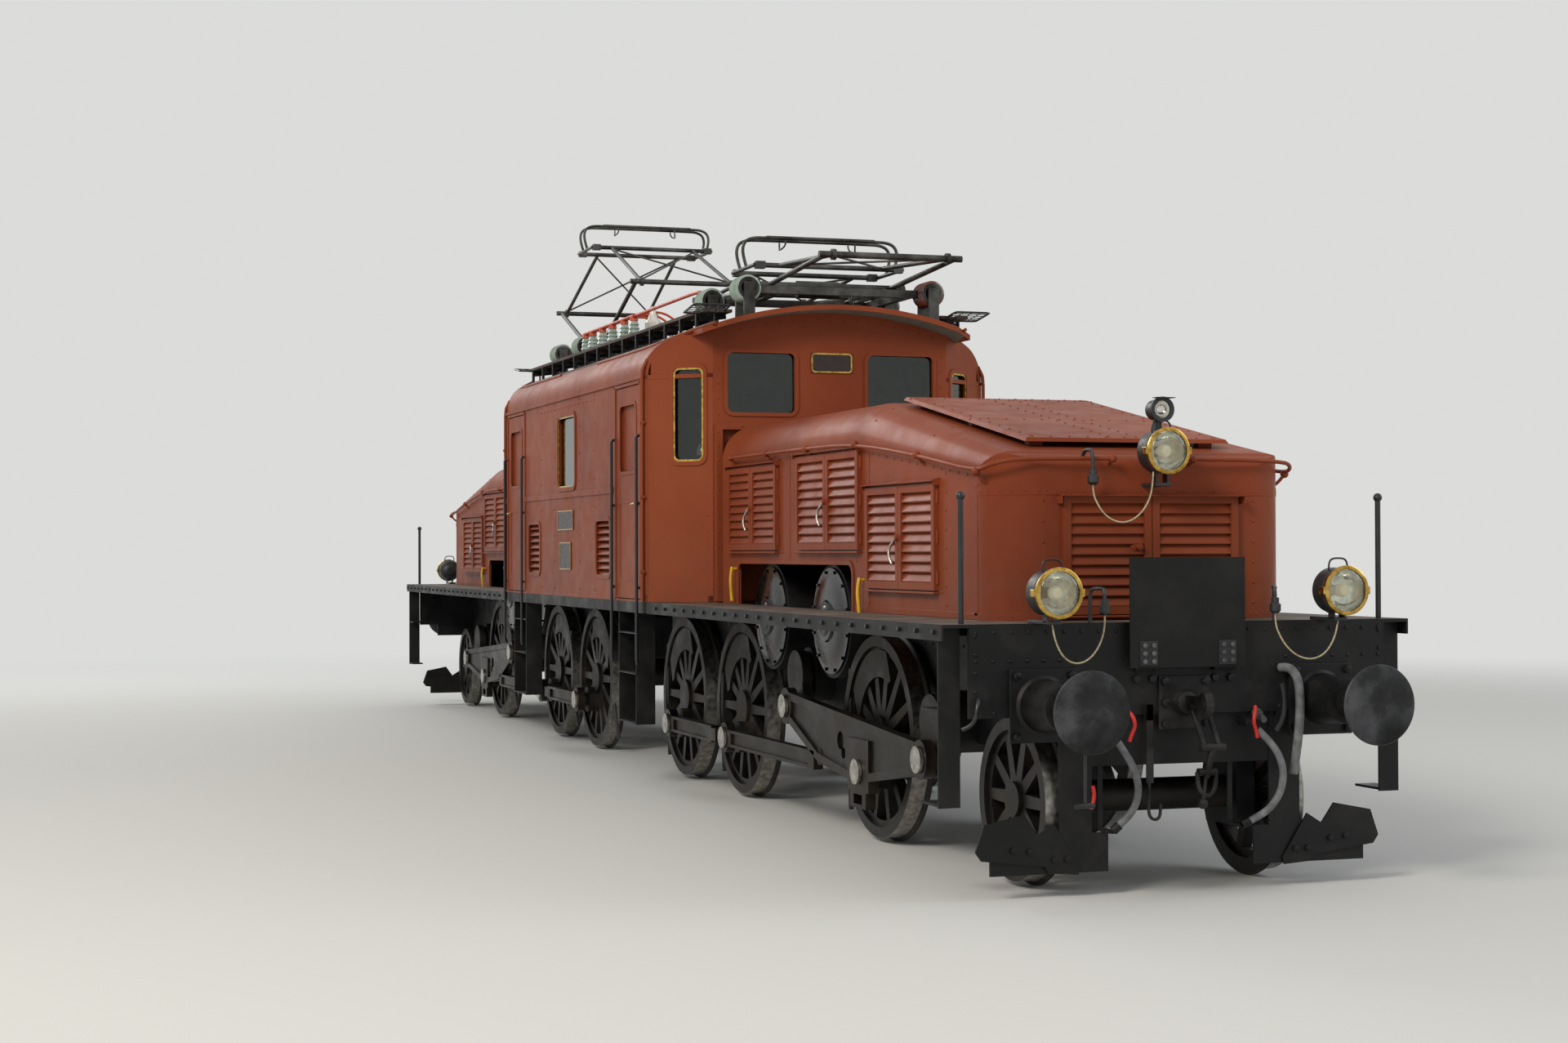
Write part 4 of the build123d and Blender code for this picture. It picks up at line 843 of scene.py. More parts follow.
bolt_spots = front_spots("front_buffers", [(buffer_apart + dy, buffer_height + dz)
                                           for dy in (-0.168, 0.168) for dz in (-0.168, 0.168)])
bolt_spots += front_spots("front_coupling", [(0.13, buffer_height + dz) for dz in (-0.12, 0.0, 0.12)])
bolt_spots += front_spots("front_bogie_frame", [(flap_hinge + dy, 1.185) for dy in (-0.05, 0.05)])
dress_both_ends(scatter(bolt_large, bolt_spots), "headstock_bolts", "black_frame")
flap_spots = front_spots("front_flap_plate", [(flap_hinge + dy, z)
                                              for dy in (-0.028, 0.028) for z in (1.285, 1.33, 1.375)])
dress_both_ends(scatter(bolt_small, flap_spots), "flap_bolts", "black_frame", grey_casting, "flap")
for model in (rivet_small, rivet_large, bolt_small, bolt_large):
    bpy.data.objects.remove(model)

# %% [markdown]
# Behind every louvre stands a dark matt sheet of painted shade, which stands for the dark inside of the
# hood. Without it, daylight from the far side would show between the slats.

# %% Painted shade behind the louvres
louvre_fields = ((3.45, 4.65, 1.92, 2.55), (5.11, 6.4, 1.92, 2.58), (6.54, 7.75, 1.67, 2.32))
# Each sheet is painted shade: a dark matt block where the inside of the hood lies in shade.
shade_sheets = [bevelled_block((8.596, -0.56, 1.55), (8.604, 0.56, 2.22), 0.002)]
for x_low, x_high, z_low, z_high in louvre_fields:
    shade_sheets += [bevelled_block((x_low - 0.01, side * 0.905, z_low - 0.01),
                               (x_high + 0.01, side * 0.913, z_high + 0.01), 0.002) for side in (-1, 1)]
dress_both_ends(shade_sheets, "louvre_painted_shade", "black_frame", matt_black)
# The cab's louvres get the same painted shade, for the shaded inside of the cab.
shade_sheets = [bevelled_block(*mirrored(sign, side, [(1.1, 1.398, 1.68), (1.66, 1.406, 2.21)]), 0.002)
           for sign, side in quarters]
dress(shade_sheets, "cab_louvre_painted_shade", "black_frame", matt_black)

# %% [markdown]
# Every pair of louvre doors shuts on a centre post with a turning lever: a boss in the body's paint and a
# curled lever of bare steel, bright from hands.

# %% Louvre door fittings
posts = [bevelled_block((8.648, -0.02, 1.545), (8.662, 0.02, 2.225), 0.004),
         turned_piece([(0, 0), (0, 0.045), (0.01, 0.045), (0.02, 0.02), (0.05, 0.02), (0.055, 0)],
                      (8.66, -0.09, 1.93), ahead)]
levers, hinges = [], []
for x_low, x_high, z_low, z_high in louvre_fields:
    x, z, tall = (x_low + x_high) / 2, (z_low + z_high) / 2, z_high - z_low
    for side in (-1, 1):
        out = (0, side, 0)
        posts.append(bevelled_block((x - 0.017, side * 0.958, z_low + 0.005),
                                    (x + 0.017, side * 0.972, z_high - 0.005), 0.004))
        posts.append(turned_piece([(0, 0), (0, 0.034), (0.012, 0.034), (0.022, 0.022), (0.045, 0.018),
                                   (0.05, 0)], (x, side * 0.97, z), out))
        posts += [turned_piece([(0, 0), (0, 0.02), (0.01, 0.02), (0.018, 0.01), (0.02, 0)],
                               (x, side * 0.971, z_low + share * tall), out, 12) for share in (0.1, 0.9)]
        lever = [(x, 1.008, z + 0.008), (x - 0.012, 1.018, z - 0.025), (x - 0.055, 1.02, z - 0.045),
                 (x - 0.075, 1.028, z - 0.085), (x - 0.055, 1.032, z - 0.13), (x - 0.035, 1.022, z - 0.165)]
        levers.append(pipe(mirrored(1, side, lever), 0.017))
        hinge = drum(-0.04, 0.04, 0.011)
        hinges += [turned_piece(hinge, (edge, side * 0.968, z_low + share * tall), steps=10)
                   for edge in (x_low + 0.004, x_high - 0.004) for share in (0.12, 0.5, 0.88)]
dress_both_ends(posts, "louvre_posts", "body_paint")
dress_both_ends(levers, "louvre_levers", "rod_steel", pale_steel)
dress_both_ends(hinges, "louvre_hinges", "body_paint")

# %% [markdown]
# The lamps are oil-age cases with electric bulbs. A bulb is frosted glass on a brass cap. Over each case
# goes a wire bail to carry it by, and a clasp holds its brass rim.

# %% Lamp bulbs, bails and clasps
# A frosted bulb, lit low, glows straw yellow and lights its bowl a little.
frosted_bulb = surface("frosted_bulb", (0.03, 2), [(0.3, "#E6D6B4"), (0.7, "#F4EAD2")], 0.4, [],
                       {"Emission Color": linear("#FFF0D0"), "Emission Strength": 0.12})
lamps = (((9.326, 0.894, 1.678), 0.142), ((9.326, -0.894, 1.678), 0.142), ((8.893, 0.0, 2.481), 0.136))
bulbs, caps, bails, clasps = [], [], [], []
for (x, y, z), radius in lamps:
    bulbs.append(turned_piece([(-0.055, 0), (-0.055, 0.016), (-0.035, 0.03), (-0.01, 0.036), (0.012, 0.027),
                               (0.022, 0)], (x - 0.045, y, z), ahead))
    caps.append(turned_piece([(-0.06, 0), (-0.06, 0.022), (-0.01, 0.022), (-0.008, 0.018), (0, 0.018),
                              (0, 0)], (x - 0.095, y, z), ahead))
    top = z + radius - 0.012
    bails.append(pipe([(x - 0.09, y + across, top + over) for across, over in (
        (-0.06, -0.016), (-0.062, 0.02), (-0.045, 0.05), (0, 0.054), (0.045, 0.05), (0.062, 0.02),
        (0.06, -0.016))], 0.011))
    for edge in (y - radius - 0.002, y + radius + 0.002):
        clasps.append(bevelled_block((x - 0.05, edge - 0.009, z - 0.022),
                                     (x + 0.004, edge + 0.009, z + 0.022), 0.004))
dress_both_ends(bulbs, "lamp_bulbs", "glass", frosted_bulb)
dress_both_ends(caps, "lamp_caps", "lamp_paint", dull_brass)
dress_both_ends(bails, "lamp_bails", "lamp_paint", black_paint)
dress_both_ends(clasps, "lamp_clasps", "lamp_paint", brass)

# %% [markdown]
# Handles that a shunter may need are painted to be found: yellow for the isolating levers beside the
# hood, red for the brake cocks.

# %% Painted levers and cocks
yellow = []
for side in (-1, 1):
    for x, low, high in ((3.589, 1.56, 1.79), (6.45, 1.535, 1.733)):
        lever = [(x, 1.0, low - 0.03), (x, 1.004, low + 0.03), (x + 0.004, 1.012, (low + high) / 2),
                 (x + 0.006, 1.006, high - 0.03), (x + 0.006, 0.998, high)]
        grip = [(x + 0.006, 0.954, high - 0.012), (x + 0.006, 1.012, high - 0.012)]
        yellow += [pipe(mirrored(1, side, lever), 0.026), pipe(mirrored(1, side, grip), 0.02, 2)]
cock = [(9.135, -0.392, 1.02), (9.165, -0.372, 0.985), (9.172, -0.36, 0.93), (9.165, -0.382, 0.885),
        (9.158, -0.392, 0.845)]
lower_cock = [(9.1, -0.6, 0.47), (9.1, -0.585, 0.52), (9.1, -0.581, 0.56), (9.1, -0.59, 0.6)]
red = [pipe(route, 0.022) for route in (cock, [(x, -y + 0.02, z) for x, y, z in cock], lower_cock)]
dress_both_ends(yellow, "isolating_levers", "bus_bar_paint", yellow_enamel)
dress_both_ends(red, "brake_cock_handles", "bus_bar_paint", red_enamel)

# %% [markdown]
# Some frame nodes are plain drums and posts. From here on they are drawn again with their real turned
# shapes, and each new piece says which node it stands for. Window frames and plates are drawn by their
# outline, because that is how a fitter marks them out.

# %% Helpers for frames and plates


def flat_frame(centre, out, width, height, corner, band, proud, arch=False):
    """A flat frame with rounded corners round an opening; an arch has no lower bar."""
    out = Vector(out).normalized()
    along, centre = upwards.cross(out), Vector(centre) + upwards * rail_head
    turns = ((1, 1), (-1, 1)) if arch else ((1, 1), (-1, 1), (-1, -1), (1, -1))
    points = []
    for grow, lift in ((0, -0.004), (0, proud), (band, proud), (band, -0.004)):
        ring = [(width / 2 + grow, -height / 2)] if arch else []
        for k, (across, over) in enumerate(turns):
            for angle in [radians(90 * k + 15 * step) for step in range(7)]:
                ring.append((across * (width / 2 - corner) + (corner + grow) * cos(angle),
                             over * (height / 2 - corner) + (corner + grow) * sin(angle)))
        if arch:
            ring.append((-width / 2 - grow, -height / 2))
        points += [centre + along * x + upwards * z + out * lift for x, z in ring]
    count = len(points) // 4
    faces = []
    for r in range(4):
        here, beside = r * count, (r + 1) % 4 * count
        for k in range(count - 1 if arch else count):
            following = (k + 1) % count
            faces.append((here + k, here + following, beside + following, beside + k))
    piece = loose_mesh(points, faces=faces)
    turn_outwards(0.01 * millimetre)
    return piece


def plate(outline, x_low, x_high):
    """A flat plate across the locomotive, cut to an outline of (y, z) points."""
    count = len(outline)
    points = [(x, y, z + rail_head) for x in (x_low, x_high) for y, z in outline]
    faces = [tuple(range(count)), tuple(range(count, 2 * count))]
    faces += [(k, (k + 1) % count, count + (k + 1) % count, count + k) for k in range(count)]
    piece = loose_mesh(points, faces=faces)
    turn_outwards(0.01 * millimetre)
    return piece


# %% [markdown]
# A headlamp is a drum case with a domed back, a stepped brass rim, a silvered bowl and a bulging lens. The
# lower lamps stand on forks on the running board, the third on a bracket on the nose.

# %% Headlamps
cases, rims, bowls, lenses = [], [], [], []
for place, radius in lamps:
    x, y, z = place
    edge, mouth = radius - 0.012, radius - 0.024
    cases.append(turned_piece([(-0.205, 0), (-0.205, 0.048), (-0.187, 0.07), (-0.181, radius - 0.034),
                               (-0.155, edge), (-0.06, edge), (-0.058, edge + 0.003), (-0.046, edge + 0.003),
                               (-0.044, edge), (-0.014, edge), (-0.014, radius - 0.02)], place, ahead, 40))
    rims.append(turned_piece([(-0.022, mouth), (-0.022, radius - 0.004), (-0.012, radius), (0.004, radius),
                              (0.008, radius - 0.006), (0.008, radius - 0.022), (0, radius - 0.022),
                              (0, radius - 0.016), (-0.014, radius - 0.016), (-0.014, mouth),
                              (-0.022, mouth)], place, ahead, 40))
    bowls.append(turned_piece(arc(-0.1, radius - 0.0235, range(0, 100, 10), -0.014), place, ahead, 40))
    lenses.append(turned_piece([(-0.013, 0), (-0.013, radius - 0.0163), (-0.0003, radius - 0.0163)]
                               + arc(0.022, radius - 0.023, range(0, 105, 15)), place, ahead, 40))
    foot = z - radius + (0.02 if y else 0.018)
    back, low, wide = (8.99, 1.505, 0.04) if y else (8.645, foot - 0.084, 0.05)
    cases.append(bevelled_block((back, y - wide, low), (x - 0.06, y + wide, low + 0.02), 0.003))
    legs = 1.515 if y else foot - 0.07
    cases.append(bevelled_block((x - 0.15, y - 0.045, foot - 0.006), (x - 0.06, y + 0.045, foot + 0.006),
                                0.003))
    cases += [bevelled_block((x - 0.135, leg - 0.006, legs), (x - 0.075, leg + 0.006, foot), 0.002)
              for leg in (y - 0.034, y + 0.034)]

# %% [markdown]
# Above the nose lamp sits a small marker lamp under a sloped shade. Each lamp cable starts at a turned
# socket on a bent pipe, and a bent pipe is simply a line through the air that is given its thickness.

# %% Marker lamp and lamp sockets
marker = (8.812, 0.0, 2.723)
cases.append(turned_piece([(-0.11, 0), (-0.11, 0.03), (-0.095, 0.06), (0, 0.062), (0, 0.074), (0.012, 0.074),
                           (0.012, 0.052), (-0.008, 0.052)], marker, ahead, 32))
bowls.append(turned_piece([(-0.008, 0.052), (-0.03, 0.042), (-0.06, 0)], marker, ahead, 32))
cases.append(bevelled_block((8.738, -0.022, 2.599), (8.77, 0.022, 2.673), 0.003))
cases.append(tilted_block((8.837, 0, 2.789), ahead, (0.1, 0, 1), (0.055, 0.124, 0.005)))
socket_pipe = [(9.055, 0.581, 1.505), (9.055, 0.581, 1.668), (9.08, 0.581, 1.698), (9.12, 0.536, 1.698),
               (9.15, 0.536, 1.688), (9.15, 0.536, 1.636)]
cases += [pipe(mirrored(1, side, socket_pipe), 0.022) for side in (-1, 1)]
cases.append(pipe([(8.76, -0.415, 2.373), (8.76, -0.415, 2.44), (8.74, -0.415, 2.49), (8.66, -0.415, 2.49),
                   (8.63, -0.415, 2.47), (8.615, -0.415, 2.43)], 0.022))
socket_profile = [(0, 0), (0, 0.018), (0.016, 0.032), (0.052, 0.032), (0.06, 0.022), (0.09, 0.022),
                  (0.09, 0)]
cases += [turned_piece(socket_profile, place)
          for place in ((9.15, -0.536, 1.548), (9.15, 0.536, 1.548), (8.76, -0.415, 2.285))]
for parts, name, slot, finish in ((cases, "lamp_cases", "lamp_paint", lamp_paint),
                                  (rims, "lamp_rims", "lamp_paint", brass),
                                  (bowls, "lamp_reflectors", "pantograph_steel", silvered),
                                  (lenses, "lamp_lenses", "glass", lamp_glass)):
    dress_both_ends(parts, name, slot, finish, instead="headlamps")

# %% [markdown]
# The motors end in domed shields of gloss enamel, held by a ring of bolts.

# %% Motors
motor_x, motor_offset, motor_height = 4.775, 0.675, 1.42
shields, bodies = [], []
for x in (motor_x - motor_offset, motor_x + motor_offset):
    bodies.append(turned_piece(drum(-0.834, 0.834, 0.4), (x, 0, motor_height), leftwards, 48))
    for side in (-1, 1):
        shields.append(turned_piece([(0.83, 0.372), (0.849, 0.372), (0.849, 0.334), (0.86, 0.29),
                                     (0.871, 0.241), (0.876, 0.2), (0.879, 0.15), (0.884, 0.146),
                                     (0.895, 0.14), (0.895, 0.11), (0.904, 0.098), (0.907, 0.06),
                                     (0.907, 0)], (x, 0, motor_height), (0, side, 0), 48))
        for angle in [radians(30 * k + 15) for k in range(12)]:
            place = (x + 0.352 * cos(angle), side * 0.848, motor_height + 0.352 * sin(angle))
            shields.append(turned_piece([(0, 0.013), (0.012, 0.013), (0.014, 0.01), (0.014, 0)], place,
                                        (0, side, 0), 6))
bodies += [bevelled_block((4.1, side * 0.38, 1.29), (5.45, side * 0.5, 1.44), 0.004) for side in (-1, 1)]
dress_both_ends(shields, "motor_shields", "black_frame", motor_gloss, instead="motors")
dress_both_ends(bodies, "motor_bodies", "black_frame", instead="motors")

# %% [markdown]
# A buffer is a bolted plate with a stepped stock and a plunger, and its head is a slightly domed disc,
# black with grease where it meets the next one.

# %% Buffers
stocks, heads = [], []
for y in (-buffer_apart, buffer_apart):
    place = (headstock, y, buffer_height)
    stocks.append(bevelled_block((headstock, y - 0.205, 0.845), (headstock + 0.026, y + 0.205, 1.255),
                                 0.004))
    stocks.append(turned_piece([(0.026, 0), (0.026, 0.168), (0.04, 0.15), (0.165, 0.132), (0.29, 0.118),
                                (0.29, 0.128), (0.33, 0.128), (0.33, 0.088), (0.592, 0.088), (0.592, 0)],
                               place, ahead, 40))
    stocks += [turned_piece([(0.02, 0.022), (0.044, 0.022), (0.047, 0.017), (0.047, 0)],
                            (headstock, y + across, buffer_height + over), ahead, 6)
               for across in (-0.165, 0.165) for over in (-0.165, 0.165)]
    heads.append(turned_piece([(0.588, 0), (0.588, 0.092), (0.6, 0.11), (0.618, 0.133), (0.626, 0.221),
                               (0.634, 0.225), (0.642, 0.219), (0.646, 0.2), (0.65, 0.16), (0.65, 0)], place,
                              ahead, 48))
dress_both_ends(stocks, "buffer_stocks", "black_frame", instead="buffers")
dress_both_ends(heads, "buffer_heads", "black_frame", buffer_grease, instead="buffers")

# %% [markdown]
# The draw hook is forged, so its outline is cut from a plate. Below its pin hangs the screw coupling: two
# links, a nut with its trunnion, the screw, a shackle and a weighted handle.

# %% Draw gear
hook = plate([(9.07, 1.015), (9.07, 1.088), (9.255, 1.092), (9.29, 1.1), (9.322, 1.124), (9.345, 1.112),
              (9.364, 1.08), (9.372, 1.045), (9.356, 1.008), (9.33, 0.985), (9.285, 0.968), (9.225, 0.99)],
             -0.025, 0.025)
hook.data.transform(Matrix.Rotation(-pi / 2, 4, "Z"))
gear = [hook, bevelled_block((headstock, -0.16, 0.9), (9.07, 0.16, 1.2), 0.004)]
gear.append(turned_piece([(0, 0.078), (0.04, 0.062), (0.06, 0.03), (0.06, 0)], (9.07, 0, buffer_height),
                         ahead))
for thick, across_bar in ((0.04, [(9.232, -0.062, 1.03), (9.232, 0.062, 1.03)]),
                          (0.048, [(9.28, -0.018, 0.808), (9.28, 0.134, 0.808)]),
                          (0.04, [(9.28, 0.058, 0.8), (9.264, 0.028, 0.64)]),
                          (0.044, [(9.268, -0.026, 0.672), (9.268, 0.088, 0.672)])):
    gear.append(pipe(across_bar, thick, 2))
for y in (-0.046, 0.046):
    gear.append(pipe([(9.232, y, 1.03), (9.256, y + 0.03, 0.92), (9.28, y + 0.058, 0.808)], 0.03))
for y in (-0.03, 0.085):
    gear.append(pipe([(9.268, y, 0.672), (9.27, y, 0.6), (9.275, (y + 0.028) / 2, 0.545),
                      (9.275, 0.028, 0.54)], 0.026))
gear.append(pipe([(9.264, 0.028, 0.66), (9.272, 0.012, 0.58), (9.28, -0.003, 0.497)], 0.022))
gear.append(turned_piece(ball(0.03, 15), (9.28, -0.003, 0.497), steps=20))
gear.append(bevelled_block((headstock, -0.25, 0.95), (9.086, -0.205, 1.045), 0.003))
gear.append(bevelled_block((9.074, -0.25, 0.6), (9.086, -0.205, 1.045), 0.003))
gear.append(pipe([(9.08, -0.23, 0.62), (9.08, -0.235, 0.5), (9.08, -0.236, 0.42), (9.08, -0.205, 0.392),
                  (9.08, -0.17, 0.4), (9.08, -0.162, 0.44), (9.08, -0.16, 0.483)], 0.018))
gear += [turned_piece([(0.015, 0.02), (0.036, 0.02), (0.039, 0.016), (0.039, 0)],
                      (headstock, across, buffer_height + over), ahead, 6)
         for across in (-0.125, 0.125) for over in (-0.115, 0.115)]
dress_both_ends(gear, "draw_gear", "rod_steel", draw_gear_steel, instead="coupling")

# %% [markdown]
# The hood is a riveted sheet box, and much of its look is in its trim: a handrail on balls, a rain
# awning over each pair of louvre doors, a rounded frame round each opening, and strips on its joints.

# %% Handrails of the hoods
rails = []
stations = ((3.59, 2.633), (4.48, 2.633), (5.4, 2.63), (6.4, 2.618), (7.51, 2.502), (8.45, 2.368))
for side in (-1, 1):
    y = side * 1.01
    rails.append(pipe([(x, y, z) for x, z in stations] + mirrored(1, side, [
        (8.58, 0.985, 2.405), (8.7, 0.85, 2.441), (8.7, 0.26, 2.441)]), 0.024))
    for x, z in stations:
        rails.append(turned_piece(ball(0.025, 18), (x, y, z), (0, side, 0), 16))
        rails.append(pipe([(x, side * 0.93, z - 0.07), (x, side * 0.965, z - 0.06), (x, y, z)], 0.02))
    rails.append(turned_piece(ball(0.025, 18), (8.7, side * 0.26, 2.441), ahead, 16))
    rails.append(pipe(mirrored(1, side, [(8.6, 0.26, 2.4), (8.66, 0.26, 2.41), (8.7, 0.26, 2.441)]), 0.02))
dress_both_ends(rails, "hood_handrails", "body_paint")

# %% Awnings, frames and strips of the hoods
trim, light_trim = [], []
for side in (-1, 1):
    out = (0, side, 0)
    for x_low, x_high, z_low, z_high in louvre_fields:
        x, width = (x_low + x_high) / 2, x_high - x_low
        trim.append(tilted_block((x, side * 0.989, z_high + 0.024), ahead, (0, side * 0.32, 1),
                                 (width + 0.04, 0.066, 0.004)))
        trim += [bevelled_block((end - 0.002, side * 0.957, z_high - 0.012),
                                (end + 0.002, side * 1.008, z_high + 0.026), 0.001)
                 for end in (x_low - 0.018, x_high + 0.018)]
        trim.append(bevelled_block((x_low - 0.01, side * 0.957, z_low - 0.024),
                                   (x_high + 0.01, side * 1.002, z_low - 0.01), 0.003))
        light_trim += [flat_frame((leaf, side * 0.96, (z_low + z_high) / 2), out, width / 2 - 0.075,
                                  z_high - z_low - 0.05, 0.05, 0.02, 0.009)
                       for leaf in (x_low + width / 4 + 0.002, x_high - width / 4 - 0.002)]
    for x_low, x_high, z_low, z_high in (
            (3.266, 3.314, 1.86, 2.58), (4.856, 4.904, 1.86, 2.6), (6.496, 6.544, 1.55, 2.56),
            (8.306, 8.354, 1.53, 2.3), (6.62, 8.35, 1.507, 1.548), (6.26, 6.5, 1.507, 1.548)):
        trim.append(bevelled_block((x_low, side * 0.956, z_low), (x_high, side * 0.963, z_high), 0.002))
    trim.append(flat_frame((4.935, side * 0.96, 1.661), out, 2.57, 0.312, 0.07, 0.03, 0.01, arch=True))
    trim.append(bevelled_block((8.645, side * 0.59 - 0.003, 2.18), (8.722, side * 0.59 + 0.003, 2.226),
                               0.001))
    light_trim.append(flat_frame((8.651, side * 0.288, 1.886), ahead, 0.49, 0.64, 0.05, 0.022, 0.009))
    belt = [(8.35 + 0.3 * cos(radians(a)), side * (0.66 + 0.3 * sin(radians(a)))) for a in range(0, 91, 10)]
    for (x_0, y_0), (x_1, y_1) in zip(belt, belt[1:]):
        for z, tall in ((2.255, 0.05), (1.527, 0.042)):
            trim.append(tilted_block(((x_0 + x_1) / 2, (y_0 + y_1) / 2, z), (x_1 - x_0, y_1 - y_0, 0),
                                     upwards, (hypot(x_1 - x_0, y_1 - y_0) + 0.003, 0.006, tall), 0.001))
trim.append(bevelled_block((8.646, -0.66, 2.23), (8.653, 0.66, 2.28), 0.002))
trim.append(bevelled_block((8.646, -0.66, 1.506), (8.653, 0.66, 1.548), 0.002))
trim.append(tilted_block((8.687, 0, 2.232), leftwards, (0.16, 0, 1), (1.186, 0.078, 0.005)))
trim.append(bevelled_block((8.645, -0.59, 1.522), (8.69, 0.59, 1.534), 0.003))
dress_both_ends(trim, "hood_trim", "body_paint")
dress_both_ends(light_trim, "louvre_frames", "body_paint")

# %% [markdown]
# The cab's sheets are framed too: a belt below the windows, a strip at the foot, a cornice and flat beads
# on the corners. All are thin bars, so one function lays them on the side walls and another one on the
# slanted corner panels.

# %% Strips of the cab
cab_side, foot, cornice = side_corner.y, 1.506, 3.33
cab_trim = []


def wall_strip(sign, side, x_low, x_high, z_low, z_high, proud):
    """A flat strip on a side wall of the cab."""
    cab_trim.append(bevelled_block((sign * x_low, side * (cab_side - 0.004), z_low),
                                   (sign * x_high, side * (cab_side + proud), z_high), 0.002))


def panel_strip(sign, side, low, high, z_low, z_high):
    """A flat strip on a slanted corner panel, between two distances along it from the side wall."""
    x, y = side_corner + panel_run.normalized() * (low + high) / 2
    cab_trim.append(tilted_block((sign * x, side * y, (z_low + z_high) / 2),
                                 (sign * panel_run.x, side * panel_run.y, 0), upwards,
                                 (high - low, 0.006, z_high - z_low), 0.002))


panel_length = panel_run.length
for side in (-1, 1):
    wall_strip(1, side, -1.79, 1.79, 2.405, 2.455, 0.012)
    wall_strip(1, side, -1.79, 1.79, foot, 1.56, 0.003)
    wall_strip(1, side, -2.705, 2.705, 3.304, cornice, 0.016)
for sign, side in quarters:
    for x_low, x_high, z_low, z_high, proud in (
            (2.655, 2.7, 2.405, 2.455, 0.012), (2.655, 2.7, foot, 1.56, 0.003),
            (1.8, 1.834, 1.53, 3.292, 0.01), (2.62, 2.652, 1.53, 3.292, 0.01),
            (1.8, 2.652, 3.272, 3.296, 0.01), (2.662, 2.7, 1.56, 3.304, 0.003)):
        wall_strip(sign, side, x_low, x_high, z_low, z_high, proud)
    panel_strip(sign, side, 0, 0.045, foot, cornice)
    panel_strip(sign, side, panel_length - 0.05, panel_length, foot, cornice)
    panel_strip(sign, side, 0, panel_length, foot, 1.56)
    panel_strip(sign, side, 0, panel_length, 3.296, cornice)

# %% [markdown]
# The windows have brass rims in painted steel frames, black handrails stand beside the doors, and drain
# pipes come down from the gutters. Each is described for one quarter of the cab and mirrored to the rest.

# %% Windows, plates, pipes and handrails of the cab
window_brass, black_rails, plates = [], [], []
for sign, side in quarters:
    out = (sign * panel_normal.x, side * panel_normal.y, 0)
    x, y = side_corner.lerp(end_corner, 0.655)
    centre = (sign * x, side * y, 3.005)
    cab_trim.append(flat_frame(centre, out, 0.262, 0.748, 0.05, 0.034, 0.012))
    window_brass.append(flat_frame(centre, out, 0.232, 0.718, 0.04, 0.02, 0.006))
    cab_trim.append(flat_frame((sign * 3.09, side * 0.596, 3.26), (sign, 0, 0), 0.569, 0.478, 0.05, 0.03,
                               0.012))
    cab_trim.append(flat_frame((sign * 1.38, side * cab_side, 1.945), (0, side, 0), 0.49, 0.46, 0.05, 0.034,
                               0.01))
    drain = [(2.722, 1.487, 1.527), (2.722, 1.487, 3.3), (2.722, 1.48, 3.38), (2.72, 1.44, 3.46)]
    gutter = [(0.73, 1.355, 3.579), (2.33, 1.355, 3.579), (2.62, 1.335, 3.59), (3.06, 1.12, 3.684),
              (3.36, 1.06, 3.705)]
    cab_trim += [pipe(mirrored(sign, side, route), 0.03, 2) for route in (drain, gutter)]
    clips = [[(2.701, 1.466, z - 0.012), (2.743, 1.508, z + 0.012)] for z in (1.75, 2.35, 2.95)]
    cab_trim += [bevelled_block(*mirrored(sign, side, clip), 0.003) for clip in clips]
    for x in (1.816, 2.634):
        rail = [(x, 1.478, 2.855), (x, 1.512, 2.84), (x, 1.512, 2.8), (x, 1.512, 1.05), (x, 1.506, 1.0)]
        black_rails.append(pipe(mirrored(sign, side, rail), 0.026, 2))
        clips = [[(x - 0.008, 1.47, z - 0.012), (x + 0.008, 1.514, z + 0.012)] for z in (1.62, 2.3)]
        black_rails += [bevelled_block(*mirrored(sign, side, clip), 0.002) for clip in clips]
for side in (-1, 1):
    out, middle = (0, side, 0), (0, side * cab_side, 2.825)
    cab_trim.append(flat_frame(middle, out, 0.673, 0.648, 0.06, 0.036, 0.012))
    window_brass.append(flat_frame(middle, out, 0.643, 0.618, 0.05, 0.02, 0.006))
    for x_low, x_high, z_low, z_high in ((-0.35, 0.27, 2.11, 2.29), (-0.26, 0.18, 1.75, 2.0)):
        plates.append(bevelled_block((x_low, side * 1.473, z_low), (x_high, side * 1.483, z_high), 0.003))
        window_brass.append(flat_frame(((x_low + x_high) / 2, side * 1.483, (z_low + z_high) / 2), out,
                                       x_high - x_low - 0.02, z_high - z_low - 0.02, 0.006, 0.01, 0.003))
for sign in (-1, 1):
    plates.append(bevelled_block((sign * 3.088, -0.175, 3.35), (sign * 3.1, 0.175, 3.51), 0.003))
    window_brass.append(flat_frame((sign * 3.1, 0, 3.43), (sign, 0, 0), 0.325, 0.135, 0.02, 0.012, 0.003))
dress(cab_trim, "cab_trim", "body_paint")
dress(window_brass, "window_and_plate_brass", "body_paint", brass)
dress(black_rails, "door_handrails", "black_frame", black_paint)
dress(plates, "blank_plates", "black_frame", plate_enamel)

# %% [markdown]
# A door swings, so its rims and its handle are pieces of their own that ride on it. The box of the CAD
# door tells on which side of the cab it hangs.

